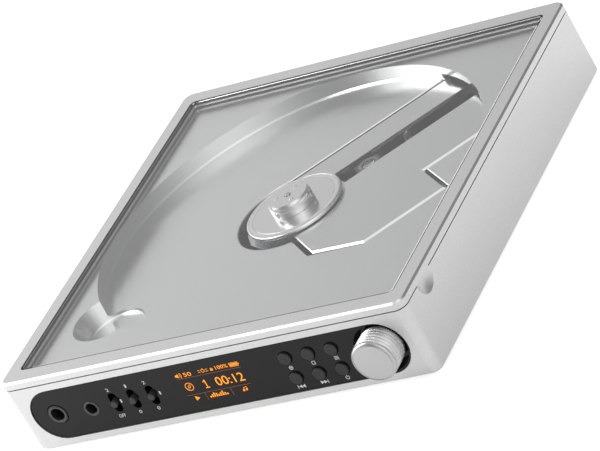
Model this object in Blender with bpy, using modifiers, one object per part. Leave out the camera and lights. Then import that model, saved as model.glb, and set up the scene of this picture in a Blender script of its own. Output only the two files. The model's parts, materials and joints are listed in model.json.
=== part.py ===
"""Portable disc player: a machined metal body with a glazed lid, an open disc well and a control panel.

World frame: +X to the player's right, +Y to its back, +Z up. The origin lies under the middle of the
whole box, on the surface that the feet stand on. Lengths are in metres.
"""
import math

import bmesh
import bpy
from mathutils import Matrix, Vector

# Overall body
HOUSING_WIDTH = 0.1500
HOUSING_DEPTH = 0.1576
HOUSING_HEIGHT = 0.0236
CORNER_RADIUS = 0.0034
SIDE_WALL = 0.0024
FRONT_WALL = 0.0030
EDGE_CHAMFER = 0.0005
FIT_GAP = 0.0003
OVERRUN = 0.0020

# Lid and its hinge
LID_THICKNESS = 0.00265
LID_CHAMFER = 0.0006
SEAM_GAP = 0.00035
LID_SIDE_BORDER = 0.0053
LID_END_BORDER = 0.00625
WINDOW_RADIUS = 0.0018
LEDGE_WIDTH = 0.0014
LEDGE_THICKNESS = 0.0006
PANE_THICKNESS = 0.0016
PANE_SUNK = 0.0001
PANE_GAP = 0.0007
GASKET_GAP = 0.0001
BEAD_RADIUS = 0.0017
GROOVE_GAP = 0.0004
GROOVE_END_SKIN = 0.0006
BRACKET_INSET = 0.0270
BRACKET_X = HOUSING_WIDTH / 2 - BRACKET_INSET
BRACKET_WIDTH = 0.0070
BRACKET_DROP = 0.0100
BRACKET_THICKNESS = 0.0017
BARREL_RADIUS = 0.0014
PIN_RADIUS = 0.0006
PIN_CLEARANCE = 0.00015
PIN_REACH = 0.0050
MAGNET_LENGTH = 0.0100
MAGNET_WIDTH = 0.0016
MAGNET_SETBACK = 0.0008
MAGNET_THICKNESS = 0.0012

# Finger notch in the right wall, under the lid's edge
NOTCH_FROM_FRONT = 0.01625
NOTCH_RADIUS = 0.0091
NOTCH_DEPTH = 0.0019

# Disc well
DECK_DROP = 0.0002
DECK_THICKNESS = 0.0020
WELL_SIDE_MARGIN = 0.0070
WELL_FRONT_MARGIN = 0.0108
WELL_RADIUS = min(HOUSING_WIDTH / 2 - WELL_SIDE_MARGIN, HOUSING_DEPTH / 2 - WELL_FRONT_MARGIN)
WELL_WALL = 0.0020
WELL_DEPTH = 0.00525
WELL_FILLET = 0.0006
FLOOR_THICKNESS = 0.0020
HUB_HOLE_RADIUS = 0.0205
OPENING_CHAMFER = 0.0003
SCOOP_ANGLE = 225.0
SCOOP_RADIUS = 0.0125
SCOOP_FOOT_RADIUS = 0.0104
SCOOP_DEPTH = 0.0064
SCOOP_FILLET = 0.0010
ARCH_HEIGHT = 0.0024
ARCH_DEPTH = 0.0045
ARCH_MARGIN = 0.0030

# Turntable and its centring boss
FLANGE_RADIUS = 0.0168
FLANGE_THICKNESS = 0.0013
FLANGE_RISE = 0.00145
FLANGE_HUB_RADIUS = 0.0052
FLANGE_HUB_DROP = 0.0017
PAD_INNER_RADIUS = 0.0145
PAD_OUTER_RADIUS = 0.0160
PAD_THICKNESS = 0.00025
BOSS_RADIUS = 0.0074
BOSS_HEIGHT = 0.0042
BOSS_TAPER_HEIGHT = 0.0012
BOSS_CHAMFER = 0.0007
BOSS_STUD_CIRCLE = 0.0040
BOSS_STUD_RADIUS = 0.0006
BOSS_STUD_HEIGHT = 0.0003
SPINDLE_RADIUS = 0.0010
SPINDLE_CLEARANCE = 0.00015
BALL_RADIUS = 0.0010
BALL_CIRCLE = 0.00675
BALL_RISE = 0.0016
BALL_POCKET_DEPTH = 0.0027
BALL_ANGLE = 12.0
BALL_COUNT = 3

# Mechanism, laid out along the sled's path at 45 degrees: u outwards, v to its left. It hangs from the
# well, so its insets and overreaches run from the well's wall and its drops from the well's floor
SLED_ANGLE = 45.0
COVER_THICKNESS = 0.0012
COVER_CHAMFER = 0.0006
COVER_GAP = 0.0009
COVER_WIDE_GAP = 0.0016
COVER_EDGE_V = 0.0180
COVER_FRONT_U = -0.00715
COVER_CORNER_V = -0.0326
COVER_DIAGONAL_U = 0.0063
COVER_RIGHT_INSET = 0.0214
COVER_RIGHT_V = COVER_RIGHT_INSET - WELL_RADIUS
COVER_STEP_INSET = 0.0313
COVER_STEP_U = WELL_RADIUS - COVER_STEP_INSET
COVER_STEP_V = -0.0280
COVER_OVERREACH = 0.0038
COVER_END_RADIUS = WELL_RADIUS + COVER_OVERREACH
COVER_HUB_RADIUS = 0.0172
COVER_POST_RADIUS = 0.0017
SLOT_LEFT_V = 0.0054
SLOT_RIGHT_V = -0.0039
SLOT_OVERREACH = 0.0018
SLOT_END_U = WELL_RADIUS + SLOT_OVERREACH
CHASSIS_DROP = 0.01215
CHASSIS_THICKNESS = 0.0012
CHASSIS_HUB_U = -0.0170
RAIL_DROP = 0.00835
RAIL_RADIUS = 0.0013
RAIL_LEFT_V = 0.0095
RAIL_RIGHT_V = -0.0120
RAIL_CLEARANCE = 0.00025
RAIL_START_U = 0.0125
RAIL_OVERREACH = 0.0015
RAIL_END_U = WELL_RADIUS + RAIL_OVERREACH
RAIL_BLOCK_LENGTH = 0.0029
RAIL_BLOCK_WIDTH = 0.0050
RAIL_BLOCK_ROOF = 0.0012
RAIL_INSET = 0.0006
MOTOR_BASE_RADIUS = 0.0122
MOTOR_CAN_RADIUS = 0.0112
MOTOR_BASE_HEIGHT = 0.0012
MOTOR_PLATE_RADIUS = 0.0180
MOTOR_PLATE_THICKNESS = 0.0009
MOTOR_PLATE_DROP = 0.0020
MOTOR_NECK_RADIUS = 0.0028
MOTOR_NECK_HEIGHT = 0.0002

# Pickup sled, lens and lead screw
LENS_REST_U = 0.0272
SLED_LENGTH = 0.0140
SLED_LEFT_V = 0.0130
SLED_RIGHT_V = -0.0168
SLED_DROP = 0.00355
SLED_HEIGHT = 0.0070
SLED_NOSE_WIDTH = 0.0016
HOLDER_WIDTH = 0.0072
HOLDER_LENGTH = 0.0090
HOLDER_CORNER = 0.00105
HOLDER_DROP = 0.00115
HOLDER_HEIGHT = 0.0018
LENS_RADIUS = 0.0021
LENS_HEIGHT = 0.0016
LENS_DOME = 0.0005
LENS_DOME_STEPS = 5
SCREW_V = -0.0190
SCREW_DROP = 0.00665
SCREW_RADIUS = 0.0016
SCREW_GROOVE = 0.00045
SCREW_PITCH = 0.0040
SCREW_THREAD_START_U = 0.0170
SCREW_THREAD_SETBACK = 0.0040
SCREW_THREAD_END_U = RAIL_END_U - SCREW_THREAD_SETBACK
SCREW_JOURNAL_RADIUS = 0.0009
SLED_MOTOR_RADIUS = 0.0036
SLED_MOTOR_LENGTH = 0.0140
TOOTH_THICKNESS = 0.0006
TOOTH_HEIGHT = 0.0010
TOOTH_ENGAGEMENT = 0.00025
DAMPER_RADIUS = 0.0035
DAMPER_WAIST_RADIUS = 0.0026

# Front panel and what it carries, measured from the panel's ends and its middle height
PANEL_END_MARGIN = 0.00535
PANEL_BOTTOM_MARGIN = 0.0026
PANEL_TOP_MARGIN = 0.0023
PANEL_LENGTH = HOUSING_WIDTH - 2 * PANEL_END_MARGIN
PANEL_HEIGHT = HOUSING_HEIGHT - PANEL_BOTTOM_MARGIN - PANEL_TOP_MARGIN
PANEL_Z = PANEL_BOTTOM_MARGIN + PANEL_HEIGHT / 2
PANEL_RECESS = 0.0005
PANEL_GAP = 0.00015
PANEL_THICKNESS = 0.0025
FLANGE_PLATE_THICKNESS = 0.0012
FLANGE_PLATE_OVERREACH = 0.00185
FLANGE_PLATE_INSET = 0.00025
FLANGE_PLATE_LENGTH = PANEL_LENGTH + 2 * FLANGE_PLATE_OVERREACH
FLANGE_PLATE_HEIGHT = PANEL_HEIGHT - 2 * FLANGE_PLATE_INSET
LARGE_JACK_FROM_END = 0.00905
LARGE_JACK_X = LARGE_JACK_FROM_END - PANEL_LENGTH / 2
LARGE_JACK_DROP = 0.00015
LARGE_JACK_Z = PANEL_Z - LARGE_JACK_DROP
LARGE_JACK_RADIUS = 0.0034
LARGE_JACK_BORE = 0.0023
LARGE_JACK_BODY = 0.0084
JACK_SPACING = 0.0130
SMALL_JACK_X = LARGE_JACK_X + JACK_SPACING
SMALL_JACK_DROP = 0.00055
SMALL_JACK_Z = PANEL_Z - SMALL_JACK_DROP
SMALL_JACK_RADIUS = 0.00255
SMALL_JACK_BORE = 0.00195
SMALL_JACK_BODY = 0.0070
JACK_PROUD = 0.0002
JACK_BODY_LENGTH = 0.0140
JACK_BORE_DEPTH = 0.0150
JACK_MOUTH = 0.0002
SWITCH_FROM_JACK = 0.0095
SWITCH_SPACING = 0.0071
SWITCH_COUNT = 3
SWITCH_FIRST_X = SMALL_JACK_X + SWITCH_FROM_JACK
SWITCH_LAST_X = SWITCH_FIRST_X + SWITCH_SPACING * (SWITCH_COUNT - 1)
SWITCH_DROP = 0.0001
SWITCH_Z = PANEL_Z - SWITCH_DROP
SWITCH_TRAVEL = 0.0018
SWITCH_SLOT_WIDTH = 0.0031
SWITCH_SLOT_MARGIN = 0.0007
SLIDER_RADIUS = 0.0012
SWITCH_SLOT_HEIGHT = 2 * (SLIDER_RADIUS + SWITCH_TRAVEL + SWITCH_SLOT_MARGIN)
SLIDER_PROUD = 0.0013
SLIDER_PLATE_WIDTH = 0.0044
SLIDER_PLATE_HEIGHT = 0.0040
SLIDER_PLATE_THICKNESS = 0.0006
SWITCH_BANK_THICKNESS = 0.0010
SWITCH_BANK_MARGIN = 0.0032
SWITCH_BANK_HEIGHT = 0.0104
KNOB_FROM_END = 0.00945
KNOB_X = PANEL_LENGTH / 2 - KNOB_FROM_END
BUTTON_FROM_KNOB = 0.0326
BUTTON_SPACING_X = 0.0083
BUTTON_SPACING_Z = 0.0075
BUTTON_COLUMNS = 3
BUTTON_FIRST_X = KNOB_X - BUTTON_FROM_KNOB
BUTTON_LAST_X = BUTTON_FIRST_X + BUTTON_SPACING_X * (BUTTON_COLUMNS - 1)
BUTTON_DROP = 0.0041
BUTTON_LOWER_Z = PANEL_Z - BUTTON_DROP
BUTTON_UPPER_Z = BUTTON_LOWER_Z + BUTTON_SPACING_Z
BUTTON_RADIUS = 0.0021
BUTTON_PROUD = 0.0008
BUTTON_CHAMFER = 0.0002
BUTTON_CLEARANCE = 0.00025
BUTTON_COLLAR_RADIUS = 0.0028
BUTTON_COLLAR_THICKNESS = 0.0006
BUTTON_TRAVEL = 0.00035
KEY_DOME_RADIUS = 0.0016
KEY_DOME_HEIGHT = 0.0008
DISPLAY_SWITCH_GAP = 0.0069
DISPLAY_BUTTON_GAP = 0.0106
DISPLAY_LEFT_X = SWITCH_LAST_X + DISPLAY_SWITCH_GAP
DISPLAY_RIGHT_X = BUTTON_FIRST_X - DISPLAY_BUTTON_GAP
DISPLAY_HEIGHT = 0.0130
DISPLAY_RISE = 0.00125
DISPLAY_Z = PANEL_Z + DISPLAY_RISE
DISPLAY_THICKNESS = 0.0016
KEY_BOARD_THICKNESS = 0.0012
KEY_BOARD_SWITCH_MARGIN = 0.0039
KEY_BOARD_BUTTON_MARGIN = 0.0058
KEY_BOARD_LEFT_X = SWITCH_FIRST_X - KEY_BOARD_SWITCH_MARGIN
KEY_BOARD_RIGHT_X = BUTTON_LAST_X + KEY_BOARD_BUTTON_MARGIN
KEY_BOARD_RISE = 0.0014
KEY_BOARD_HEADROOM = 0.0018
KNOB_PROUD = 0.0065
KNOB_CHAMFER = 0.0005
KNOB_SUNK = 0.0018
KNOB_WELL_MARGIN = 0.00065
KNOB_WELL_RADIUS = PANEL_HEIGHT / 2 - KNOB_WELL_MARGIN
KNOB_CLEARANCE = 0.0015
KNOB_RADIUS = KNOB_WELL_RADIUS - KNOB_CLEARANCE
KNOB_WELL_FLOOR = 0.0008
STEM_RADIUS = 0.0028
STEM_CLEARANCE = 0.0002
ENCODER_CLEARANCE = 0.00095
ENCODER_DEPTH = 0.0070
ENCODER_BORE_DEPTH = 0.0030

# Underside and inside
COVER_PLATE_THICKNESS = 0.0016
FOOT_RADIUS = 0.0055
FOOT_PROUD = 0.0009
FOOT_SUNK = 0.0005
FOOT_INSET = 0.0150
POST_RADIUS = 0.0032
POST_INSET = 0.0026
FRONT_POST_SETBACK = 0.0094
BACK_POST_SETBACK = 0.0078
SCREW_HOLE_RADIUS = 0.0013
SCREW_HOLE_DEPTH = 0.0080
SCREW_HEAD_RADIUS = 0.0024
BOARD_Z = 0.0040
BOARD_THICKNESS = 0.0012
BOARD_SIDE_GAP = 0.0076
BOARD_HALF_WIDTH = HOUSING_WIDTH / 2 - SIDE_WALL - BOARD_SIDE_GAP
BOARD_FRONT_SETBACK = 0.0100
BOARD_STRIP_DEPTH = 0.0330
BOARD_ARM_WIDTH = 0.0300
BOARD_BACK_SETBACK = 0.0038
BOARD_CHIP_SIZE = 0.0090
BOARD_CHIP_HEIGHT = 0.0012
BATTERY_WIDTH = 0.0290
BATTERY_LENGTH = 0.0840
BATTERY_HEADROOM = 0.00345
BATTERY_CORNER = 0.0012
USB_WIDTH = 0.0090
USB_HEIGHT = 0.0033
USB_DEPTH = 0.0074
USB_SHELL = 0.0004
USB_INSET = 0.0250
USB_SPACING = 0.0140
USB_COUNT = 2
USB_FIRST_X = HOUSING_WIDTH / 2 - USB_INSET
REAR_JACK_FROM_USB = 0.0160
REAR_JACK_SPACING = 0.0130
REAR_JACK_COUNT = 2
REAR_JACK_FIRST_X = USB_FIRST_X - USB_SPACING * (USB_COUNT - 1) - REAR_JACK_FROM_USB
REAR_JACK_BODY = 0.0070
REAR_JACK_LENGTH = 0.0120
REAR_JACK_BORE = 0.0019
REAR_JACK_BORE_DEPTH = 0.0100
REAR_JACK_RING_RADIUS = 0.0030
REAR_PORT_Z = 0.0092

# Facets, and the distances below which points are one
SEAM_WELD = 0.00001
OUTLINE_WELD = 0.000001
FLAT_ANGLE = 0.5
SMOOTH_ANGLE = 35.0
ROUND_STEPS = 24
FINE_STEPS = 36
WELL_STEPS = 80
BUTTON_STEPS = 16
SMALL_STEPS = 12
CORNER_STEPS = 5

# Places worked out from the sizes above
FRONT_Y = (KNOB_PROUD - HOUSING_DEPTH) / 2
BACK_Y = FRONT_Y + HOUSING_DEPTH
DISC_Y = FRONT_Y + HOUSING_DEPTH / 2
BASE_Z = FOOT_PROUD
LID_BOTTOM_Z = HOUSING_HEIGHT + SEAM_GAP
LID_TOP_Z = LID_BOTTOM_Z + LID_THICKNESS
HINGE_INSET = BEAD_RADIUS
BACK_WALL = HINGE_INSET + BEAD_RADIUS
DECK_TOP_Z = HOUSING_HEIGHT - DECK_DROP
DECK_UNDER_Z = DECK_TOP_Z - DECK_THICKNESS
FLOOR_Z = DECK_TOP_Z - WELL_DEPTH
FLOOR_UNDER_Z = FLOOR_Z - FLOOR_THICKNESS
FLANGE_TOP_Z = FLOOR_Z + FLANGE_RISE
CHASSIS_Z = FLOOR_Z - CHASSIS_DROP
RAIL_Z = FLOOR_Z - RAIL_DROP
SCREW_Z = FLOOR_Z - SCREW_DROP
SLED_TOP_Z = FLOOR_Z - SLED_DROP
SLED_BOTTOM_Z = SLED_TOP_Z - SLED_HEIGHT
HOLDER_TOP_Z = FLOOR_Z - HOLDER_DROP
HOLDER_BOTTOM_Z = HOLDER_TOP_Z - HOLDER_HEIGHT
KEY_BOARD_BOTTOM_Z = COVER_PLATE_THICKNESS + KEY_BOARD_RISE
KEY_BOARD_TOP_Z = DECK_UNDER_Z - KEY_BOARD_HEADROOM
BOARD_TOP_Z = BOARD_Z + BOARD_THICKNESS
ENCODER_SIZE = 2 * (PANEL_Z - BOARD_TOP_Z - ENCODER_CLEARANCE)
BATTERY_HEIGHT = FLOOR_UNDER_Z - BATTERY_HEADROOM - BOARD_TOP_Z - FIT_GAP
INNER_HALF_WIDTH = HOUSING_WIDTH / 2 - SIDE_WALL
INNER_FRONT = -HOUSING_DEPTH / 2 + FRONT_WALL
INNER_BACK = HOUSING_DEPTH / 2 - BACK_WALL
PANEL_BACK = PANEL_RECESS + PANEL_THICKNESS + FIT_GAP + FLANGE_PLATE_THICKNESS
COLLAR_FRONT = PANEL_BACK + FIT_GAP
KEY_BOARD_FRONT = COLLAR_FRONT + BUTTON_COLLAR_THICKNESS + BUTTON_TRAVEL + FIT_GAP + KEY_DOME_HEIGHT

# Frames that the sub-parts are drawn in
BODY_FRAME = Matrix.Translation((0.0, DISC_Y, BASE_Z))
FRONT_FRAME = Matrix.Translation((0.0, FRONT_Y, BASE_Z)) @ Matrix.Rotation(math.pi / 2, 4, "X")
BACK_FRAME = (
    Matrix.Translation((0.0, BACK_Y, BASE_Z))
    @ Matrix.Rotation(math.pi, 4, "Z")
    @ Matrix.Rotation(math.pi / 2, 4, "X")
)
SLED_FRAME = BODY_FRAME @ Matrix.Rotation(math.radians(SLED_ANGLE), 4, "Z")
HINGE_FRAME = Matrix.Translation((0.0, BACK_Y - HINGE_INSET, BASE_Z + LID_BOTTOM_Z))


def clear_scene():
    for existing in list(bpy.data.objects):
        bpy.data.objects.remove(existing, do_unlink=True)


def new_collection(name):
    collection = bpy.data.collections.new(name)
    bpy.context.scene.collection.children.link(collection)
    return collection


clear_scene()
PARTS = new_collection("disc_player")
CUTTERS = new_collection("cutters")


def make_material(name, colour, roughness, metallic):
    """A plain principled material in the part's own colour."""
    material = bpy.data.materials.new(name)
    material.use_nodes = True
    shader = material.node_tree.nodes["Principled BSDF"]
    shader.inputs["Base Color"].default_value = (*colour, 1.0)
    shader.inputs["Roughness"].default_value = roughness
    shader.inputs["Metallic"].default_value = metallic
    material.diffuse_color = (*colour, 1.0)
    return material


BLASTED = make_material("blasted_aluminium", (0.80, 0.81, 0.80), 0.42, 1.0)
SATIN = make_material("satin_aluminium", (0.78, 0.79, 0.79), 0.28, 1.0)
POLISHED = make_material("polished_metal", (0.86, 0.86, 0.86), 0.12, 1.0)
STEEL = make_material("steel", (0.62, 0.63, 0.65), 0.25, 1.0)
GLASS = make_material("clear_glass", (0.90, 0.93, 0.93), 0.03, 0.0)
BLACK_GLOSS = make_material("gloss_black", (0.02, 0.02, 0.022), 0.12, 0.0)
BLACK_MATTE = make_material("matte_black", (0.04, 0.04, 0.043), 0.55, 0.0)
RUBBER = make_material("black_rubber", (0.03, 0.03, 0.03), 0.85, 0.0)
BOARD = make_material("board_green", (0.03, 0.16, 0.08), 0.5, 0.0)
CELL = make_material("battery_wrap", (0.12, 0.16, 0.22), 0.5, 0.0)


def make_empty(name, matrix):
    empty = bpy.data.objects.new(name, None)
    empty.empty_display_size = BALL_CIRCLE
    empty.matrix_world = matrix
    PARTS.objects.link(empty)
    return empty


def finish_part(part, parent, material):
    """Give a part its material and hang it under its body's empty, where it stands."""
    part.data.materials.clear()
    part.data.materials.append(material)
    part.parent = parent
    part.matrix_parent_inverse = parent.matrix_basis.inverted()
    return part


def add_mesh(name, mesh, frame, cutter=False):
    thing = bpy.data.objects.new(name, mesh)
    thing.matrix_world = frame
    if cutter:
        CUTTERS.objects.link(thing)
        thing.hide_render = True
        thing.display_type = "WIRE"
    else:
        PARTS.objects.link(thing)
    return thing


def mesh_from(name, shape):
    mesh = bpy.data.meshes.new(name)
    shape.to_mesh(mesh)
    shape.free()
    return mesh


def box(name, low, high, frame, cutter=False):
    """A box between two corners of the frame."""
    low = Vector(low)
    high = Vector(high)
    shape = bmesh.new()
    place = Matrix.Translation((low + high) / 2) @ Matrix.Diagonal((*(high - low), 1.0))
    bmesh.ops.create_cube(shape, size=1.0, matrix=place)
    return add_mesh(name, mesh_from(name, shape), frame, cutter)


def cylinder(
    name,
    radius,
    start,
    end,
    frame,
    cutter=False,
    steps=ROUND_STEPS,
    end_radius=None,
    roll=0.0,
):
    """A cylinder, or a cone with end_radius, between two points of the frame, its facets turned by roll."""
    start = Vector(start)
    end = Vector(end)
    along = end - start
    turn = Vector((0.0, 0.0, 1.0)).rotation_difference(along).to_matrix().to_4x4()
    turn = turn @ Matrix.Rotation(roll, 4, "Z")
    shape = bmesh.new()
    bmesh.ops.create_cone(
        shape,
        cap_ends=True,
        segments=steps,
        radius1=radius,
        radius2=radius if end_radius is None else end_radius,
        depth=along.length,
        matrix=Matrix.Translation((start + end) / 2) @ turn,
    )
    mesh = mesh_from(name, shape)
    mesh.shade_smooth()
    mesh.set_sharp_from_angle(angle=math.radians(SMOOTH_ANGLE))
    return add_mesh(name, mesh, frame, cutter)


def ball(name, radius, centre, frame, cutter=False, steps=ROUND_STEPS):
    shape = bmesh.new()
    place = Matrix.Translation(centre)
    bmesh.ops.create_uvsphere(shape, u_segments=steps, v_segments=steps // 2, radius=radius, matrix=place)
    mesh = mesh_from(name, shape)
    mesh.shade_smooth()
    return add_mesh(name, mesh, frame, cutter)


def turned(name, profile, frame, cutter=False, steps=ROUND_STEPS, ring=False):
    """A turned shape from (radius, height) points that run down its outer side, top to bottom."""
    shape = bmesh.new()
    points = [shape.verts.new((radius, 0.0, height)) for radius, height in profile]
    for first, second in zip(points, points[1:]):
        shape.edges.new((first, second))
    if ring:
        shape.edges.new((points[-1], points[0]))
    thing = add_mesh(name, mesh_from(name, shape), frame, cutter)
    screw = thing.modifiers.new("turn", "SCREW")
    screw.axis = "Z"
    screw.angle = 2 * math.pi
    screw.steps = steps
    screw.render_steps = steps
    screw.use_merge_vertices = True
    screw.merge_threshold = SEAM_WELD
    screw.use_smooth_shade = False
    return thing


def prism(name, outline, low, high, frame, cutter=False):
    """A flat outline drawn as a filled curve and extruded between two heights of the frame."""
    curve = bpy.data.curves.new(name + "_outline", "CURVE")
    curve.dimensions = "2D"
    curve.fill_mode = "BOTH"
    curve.extrude = (high - low) / 2
    spline = curve.splines.new("POLY")
    spline.points.add(len(outline) - 1)
    for point, (across, up) in zip(spline.points, outline):
        point.co = (across, up, 0.0, 1.0)
    spline.use_cyclic_u = True
    drawn = bpy.data.objects.new(name + "_drawn", curve)
    CUTTERS.objects.link(drawn)
    bpy.context.view_layer.update()
    mesh = bpy.data.meshes.new_from_object(drawn.evaluated_get(bpy.context.evaluated_depsgraph_get()))
    bpy.data.objects.remove(drawn, do_unlink=True)
    shape = bmesh.new()
    shape.from_mesh(mesh)
    bmesh.ops.remove_doubles(shape, verts=shape.verts, dist=OUTLINE_WELD)
    flat = math.radians(FLAT_ANGLE)
    bmesh.ops.dissolve_limit(shape, angle_limit=flat, verts=shape.verts, edges=shape.edges)
    bmesh.ops.translate(shape, verts=shape.verts, vec=(0.0, 0.0, (low + high) / 2))
    bmesh.ops.recalc_face_normals(shape, faces=shape.faces)
    shape.to_mesh(mesh)
    shape.free()
    mesh.name = name
    return add_mesh(name, mesh, frame, cutter)


def arc(centre, radius, first, last, steps):
    """Points on an arc, angles in degrees."""
    points = []
    for step in range(steps + 1):
        angle = math.radians(first + (last - first) * step / steps)
        points.append((centre[0] + radius * math.cos(angle), centre[1] + radius * math.sin(angle)))
    return points


def rounded_rectangle(width, height, radius, centre=(0.0, 0.0), steps=CORNER_STEPS):
    across = width / 2 - radius
    up = height / 2 - radius
    corners = ((across, up, 0.0), (-across, up, 90.0), (-across, -up, 180.0), (across, -up, 270.0))
    points = []
    for corner_x, corner_y, start in corners:
        middle = (centre[0] + corner_x, centre[1] + corner_y)
        points += arc(middle, radius, start, start + 90.0, steps)
    return points


def slot_outline(width, height, centre=(0.0, 0.0), steps=6):
    """A slot with two half-round ends on its shorter sides."""
    radius = min(width, height) / 2
    across = width / 2 - radius
    up = height / 2 - radius
    if across > up:
        right = arc((centre[0] + across, centre[1]), radius, -90.0, 90.0, steps)
        left = arc((centre[0] - across, centre[1]), radius, 90.0, 270.0, steps)
        return right + left
    top = arc((centre[0], centre[1] + up), radius, 0.0, 180.0, steps)
    bottom = arc((centre[0], centre[1] - up), radius, 180.0, 360.0, steps)
    return top + bottom


def boolean(target, tool, operation):
    modifier = target.modifiers.new(operation.lower(), "BOOLEAN")
    modifier.operation = operation
    modifier.solver = "EXACT"
    modifier.object = tool
    return target


def cut(target, *tools):
    for tool in tools:
        boolean(target, tool, "DIFFERENCE")
    return target


def join(target, *tools):
    for tool in tools:
        boolean(target, tool, "UNION")
    return target


def chamfer_edges(target, height, width, outer_reach):
    """Chamfer the edges that lie at one height and at least outer_reach from the middle."""
    mesh = target.data
    weights = mesh.attributes.new("bevel_weight_edge", "FLOAT", "EDGE")
    for edge in mesh.edges:
        ends = [mesh.vertices[index].co for index in edge.vertices]
        level = all(abs(end.z - height) < FIT_GAP / 2 for end in ends)
        outer = all(math.hypot(end.x, end.y) > outer_reach for end in ends)
        weights.data[edge.index].value = 1.0 if level and outer else 0.0
    bevel = target.modifiers.new("chamfer", "BEVEL")
    bevel.limit_method = "WEIGHT"
    bevel.width = width
    bevel.segments = 1
    return target


def polar(radius, angle, height=0.0):
    turn = math.radians(angle)
    return Vector((radius * math.cos(turn), radius * math.sin(turn), height))


PLAYER = make_empty("player", BODY_FRAME)
LID_AXIS = make_empty("lid_axis", HINGE_FRAME)
DISC_AXIS = make_empty("disc_axis", BODY_FRAME @ Matrix.Translation((0.0, 0.0, FLANGE_TOP_Z)))
SLED_AXIS = make_empty("sled_axis", SLED_FRAME @ Matrix.Translation((LENS_REST_U, 0.0, RAIL_Z)))
LENS_AXIS = make_empty("lens_axis", SLED_FRAME @ Matrix.Translation((LENS_REST_U, 0.0, HOLDER_TOP_Z)))
SCREW_AXIS = make_empty("lead_screw_axis", SLED_FRAME @ Matrix.Translation((0.0, SCREW_V, SCREW_Z)))
KNOB_FRAME = FRONT_FRAME @ Matrix.Translation((KNOB_X, PANEL_Z, 0.0))
KNOB_AXIS = make_empty("knob_axis", KNOB_FRAME)


def post_places():
    """Middles of the four posts that the bottom cover is screwed to."""
    across = INNER_HALF_WIDTH - POST_INSET
    front = -HOUSING_DEPTH / 2 + FRONT_POST_SETBACK
    back = HOUSING_DEPTH / 2 - BACK_POST_SETBACK
    return [(across, front), (-across, front), (across, back), (-across, back)]


def rear_jack_places():
    return [REAR_JACK_FIRST_X - REAR_JACK_SPACING * index for index in range(REAR_JACK_COUNT)]


def usb_places():
    return [USB_FIRST_X - USB_SPACING * index for index in range(USB_COUNT)]


def build_housing():
    outline = rounded_rectangle(HOUSING_WIDTH, HOUSING_DEPTH, CORNER_RADIUS)
    housing = prism("housing", outline, 0.0, HOUSING_HEIGHT, BODY_FRAME)
    chamfer_edges(housing, 0.0, EDGE_CHAMFER, 0.0)
    cavity = box(
        "housing_cavity",
        (-INNER_HALF_WIDTH, INNER_FRONT, -OVERRUN),
        (INNER_HALF_WIDTH, INNER_BACK, HOUSING_HEIGHT + OVERRUN),
        BODY_FRAME,
        cutter=True,
    )
    cut(housing, cavity)
    post_low = COVER_PLATE_THICKNESS + FIT_GAP
    post_high = DECK_UNDER_Z - FIT_GAP
    for number, (across, back) in enumerate(post_places(), start=1):
        post = cylinder(
            f"housing_post_{number}",
            POST_RADIUS,
            (across, back, post_low),
            (across, back, post_high),
            BODY_FRAME,
            cutter=True,
            steps=SMALL_STEPS,
        )
        join(housing, post)
        hole = cylinder(
            f"housing_screw_hole_{number}",
            SCREW_HOLE_RADIUS,
            (across, back, -OVERRUN),
            (across, back, SCREW_HOLE_DEPTH),
            BODY_FRAME,
            cutter=True,
            steps=SMALL_STEPS,
        )
        cut(housing, hole)
    opening = prism(
        "panel_opening",
        slot_outline(PANEL_LENGTH, PANEL_HEIGHT, (0.0, PANEL_Z), steps=BUTTON_STEPS),
        -FRONT_WALL - OVERRUN,
        OVERRUN,
        FRONT_FRAME,
        cutter=True,
    )
    cut(housing, opening)
    notch = ball(
        "finger_notch",
        NOTCH_RADIUS,
        (
            HOUSING_WIDTH / 2 + NOTCH_RADIUS - NOTCH_DEPTH,
            -HOUSING_DEPTH / 2 + NOTCH_FROM_FRONT,
            HOUSING_HEIGHT,
        ),
        BODY_FRAME,
        cutter=True,
        steps=FINE_STEPS,
    )
    cut(housing, notch)
    groove_half = HOUSING_WIDTH / 2 - GROOVE_END_SKIN
    groove = cylinder(
        "hinge_groove",
        BEAD_RADIUS + GROOVE_GAP,
        (-groove_half, 0.0, 0.0),
        (groove_half, 0.0, 0.0),
        HINGE_FRAME,
        cutter=True,
    )
    cut(housing, groove)
    for side in (-1, 1):
        half = BRACKET_WIDTH / 2 + FIT_GAP
        pocket = box(
            f"bracket_pocket_{side}",
            (side * BRACKET_X - half, -BEAD_RADIUS - OVERRUN, -BRACKET_DROP - FIT_GAP),
            (side * BRACKET_X + half, BRACKET_THICKNESS - BARREL_RADIUS + FIT_GAP, BEAD_RADIUS),
            HINGE_FRAME,
            cutter=True,
        )
        cut(housing, pocket)
    for number, across in enumerate(rear_jack_places(), start=1):
        hole = cylinder(
            f"rear_jack_hole_{number}",
            REAR_JACK_RING_RADIUS + FIT_GAP,
            (across, REAR_PORT_Z, -BACK_WALL - OVERRUN),
            (across, REAR_PORT_Z, OVERRUN),
            BACK_FRAME,
            cutter=True,
        )
        cut(housing, hole)
    for number, across in enumerate(usb_places(), start=1):
        hole = prism(
            f"usb_hole_{number}",
            slot_outline(USB_WIDTH + 2 * FIT_GAP, USB_HEIGHT + 2 * FIT_GAP, (across, REAR_PORT_Z)),
            -BACK_WALL - OVERRUN,
            OVERRUN,
            BACK_FRAME,
            cutter=True,
        )
        cut(housing, hole)
    return finish_part(housing, PLAYER, BLASTED)


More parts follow.
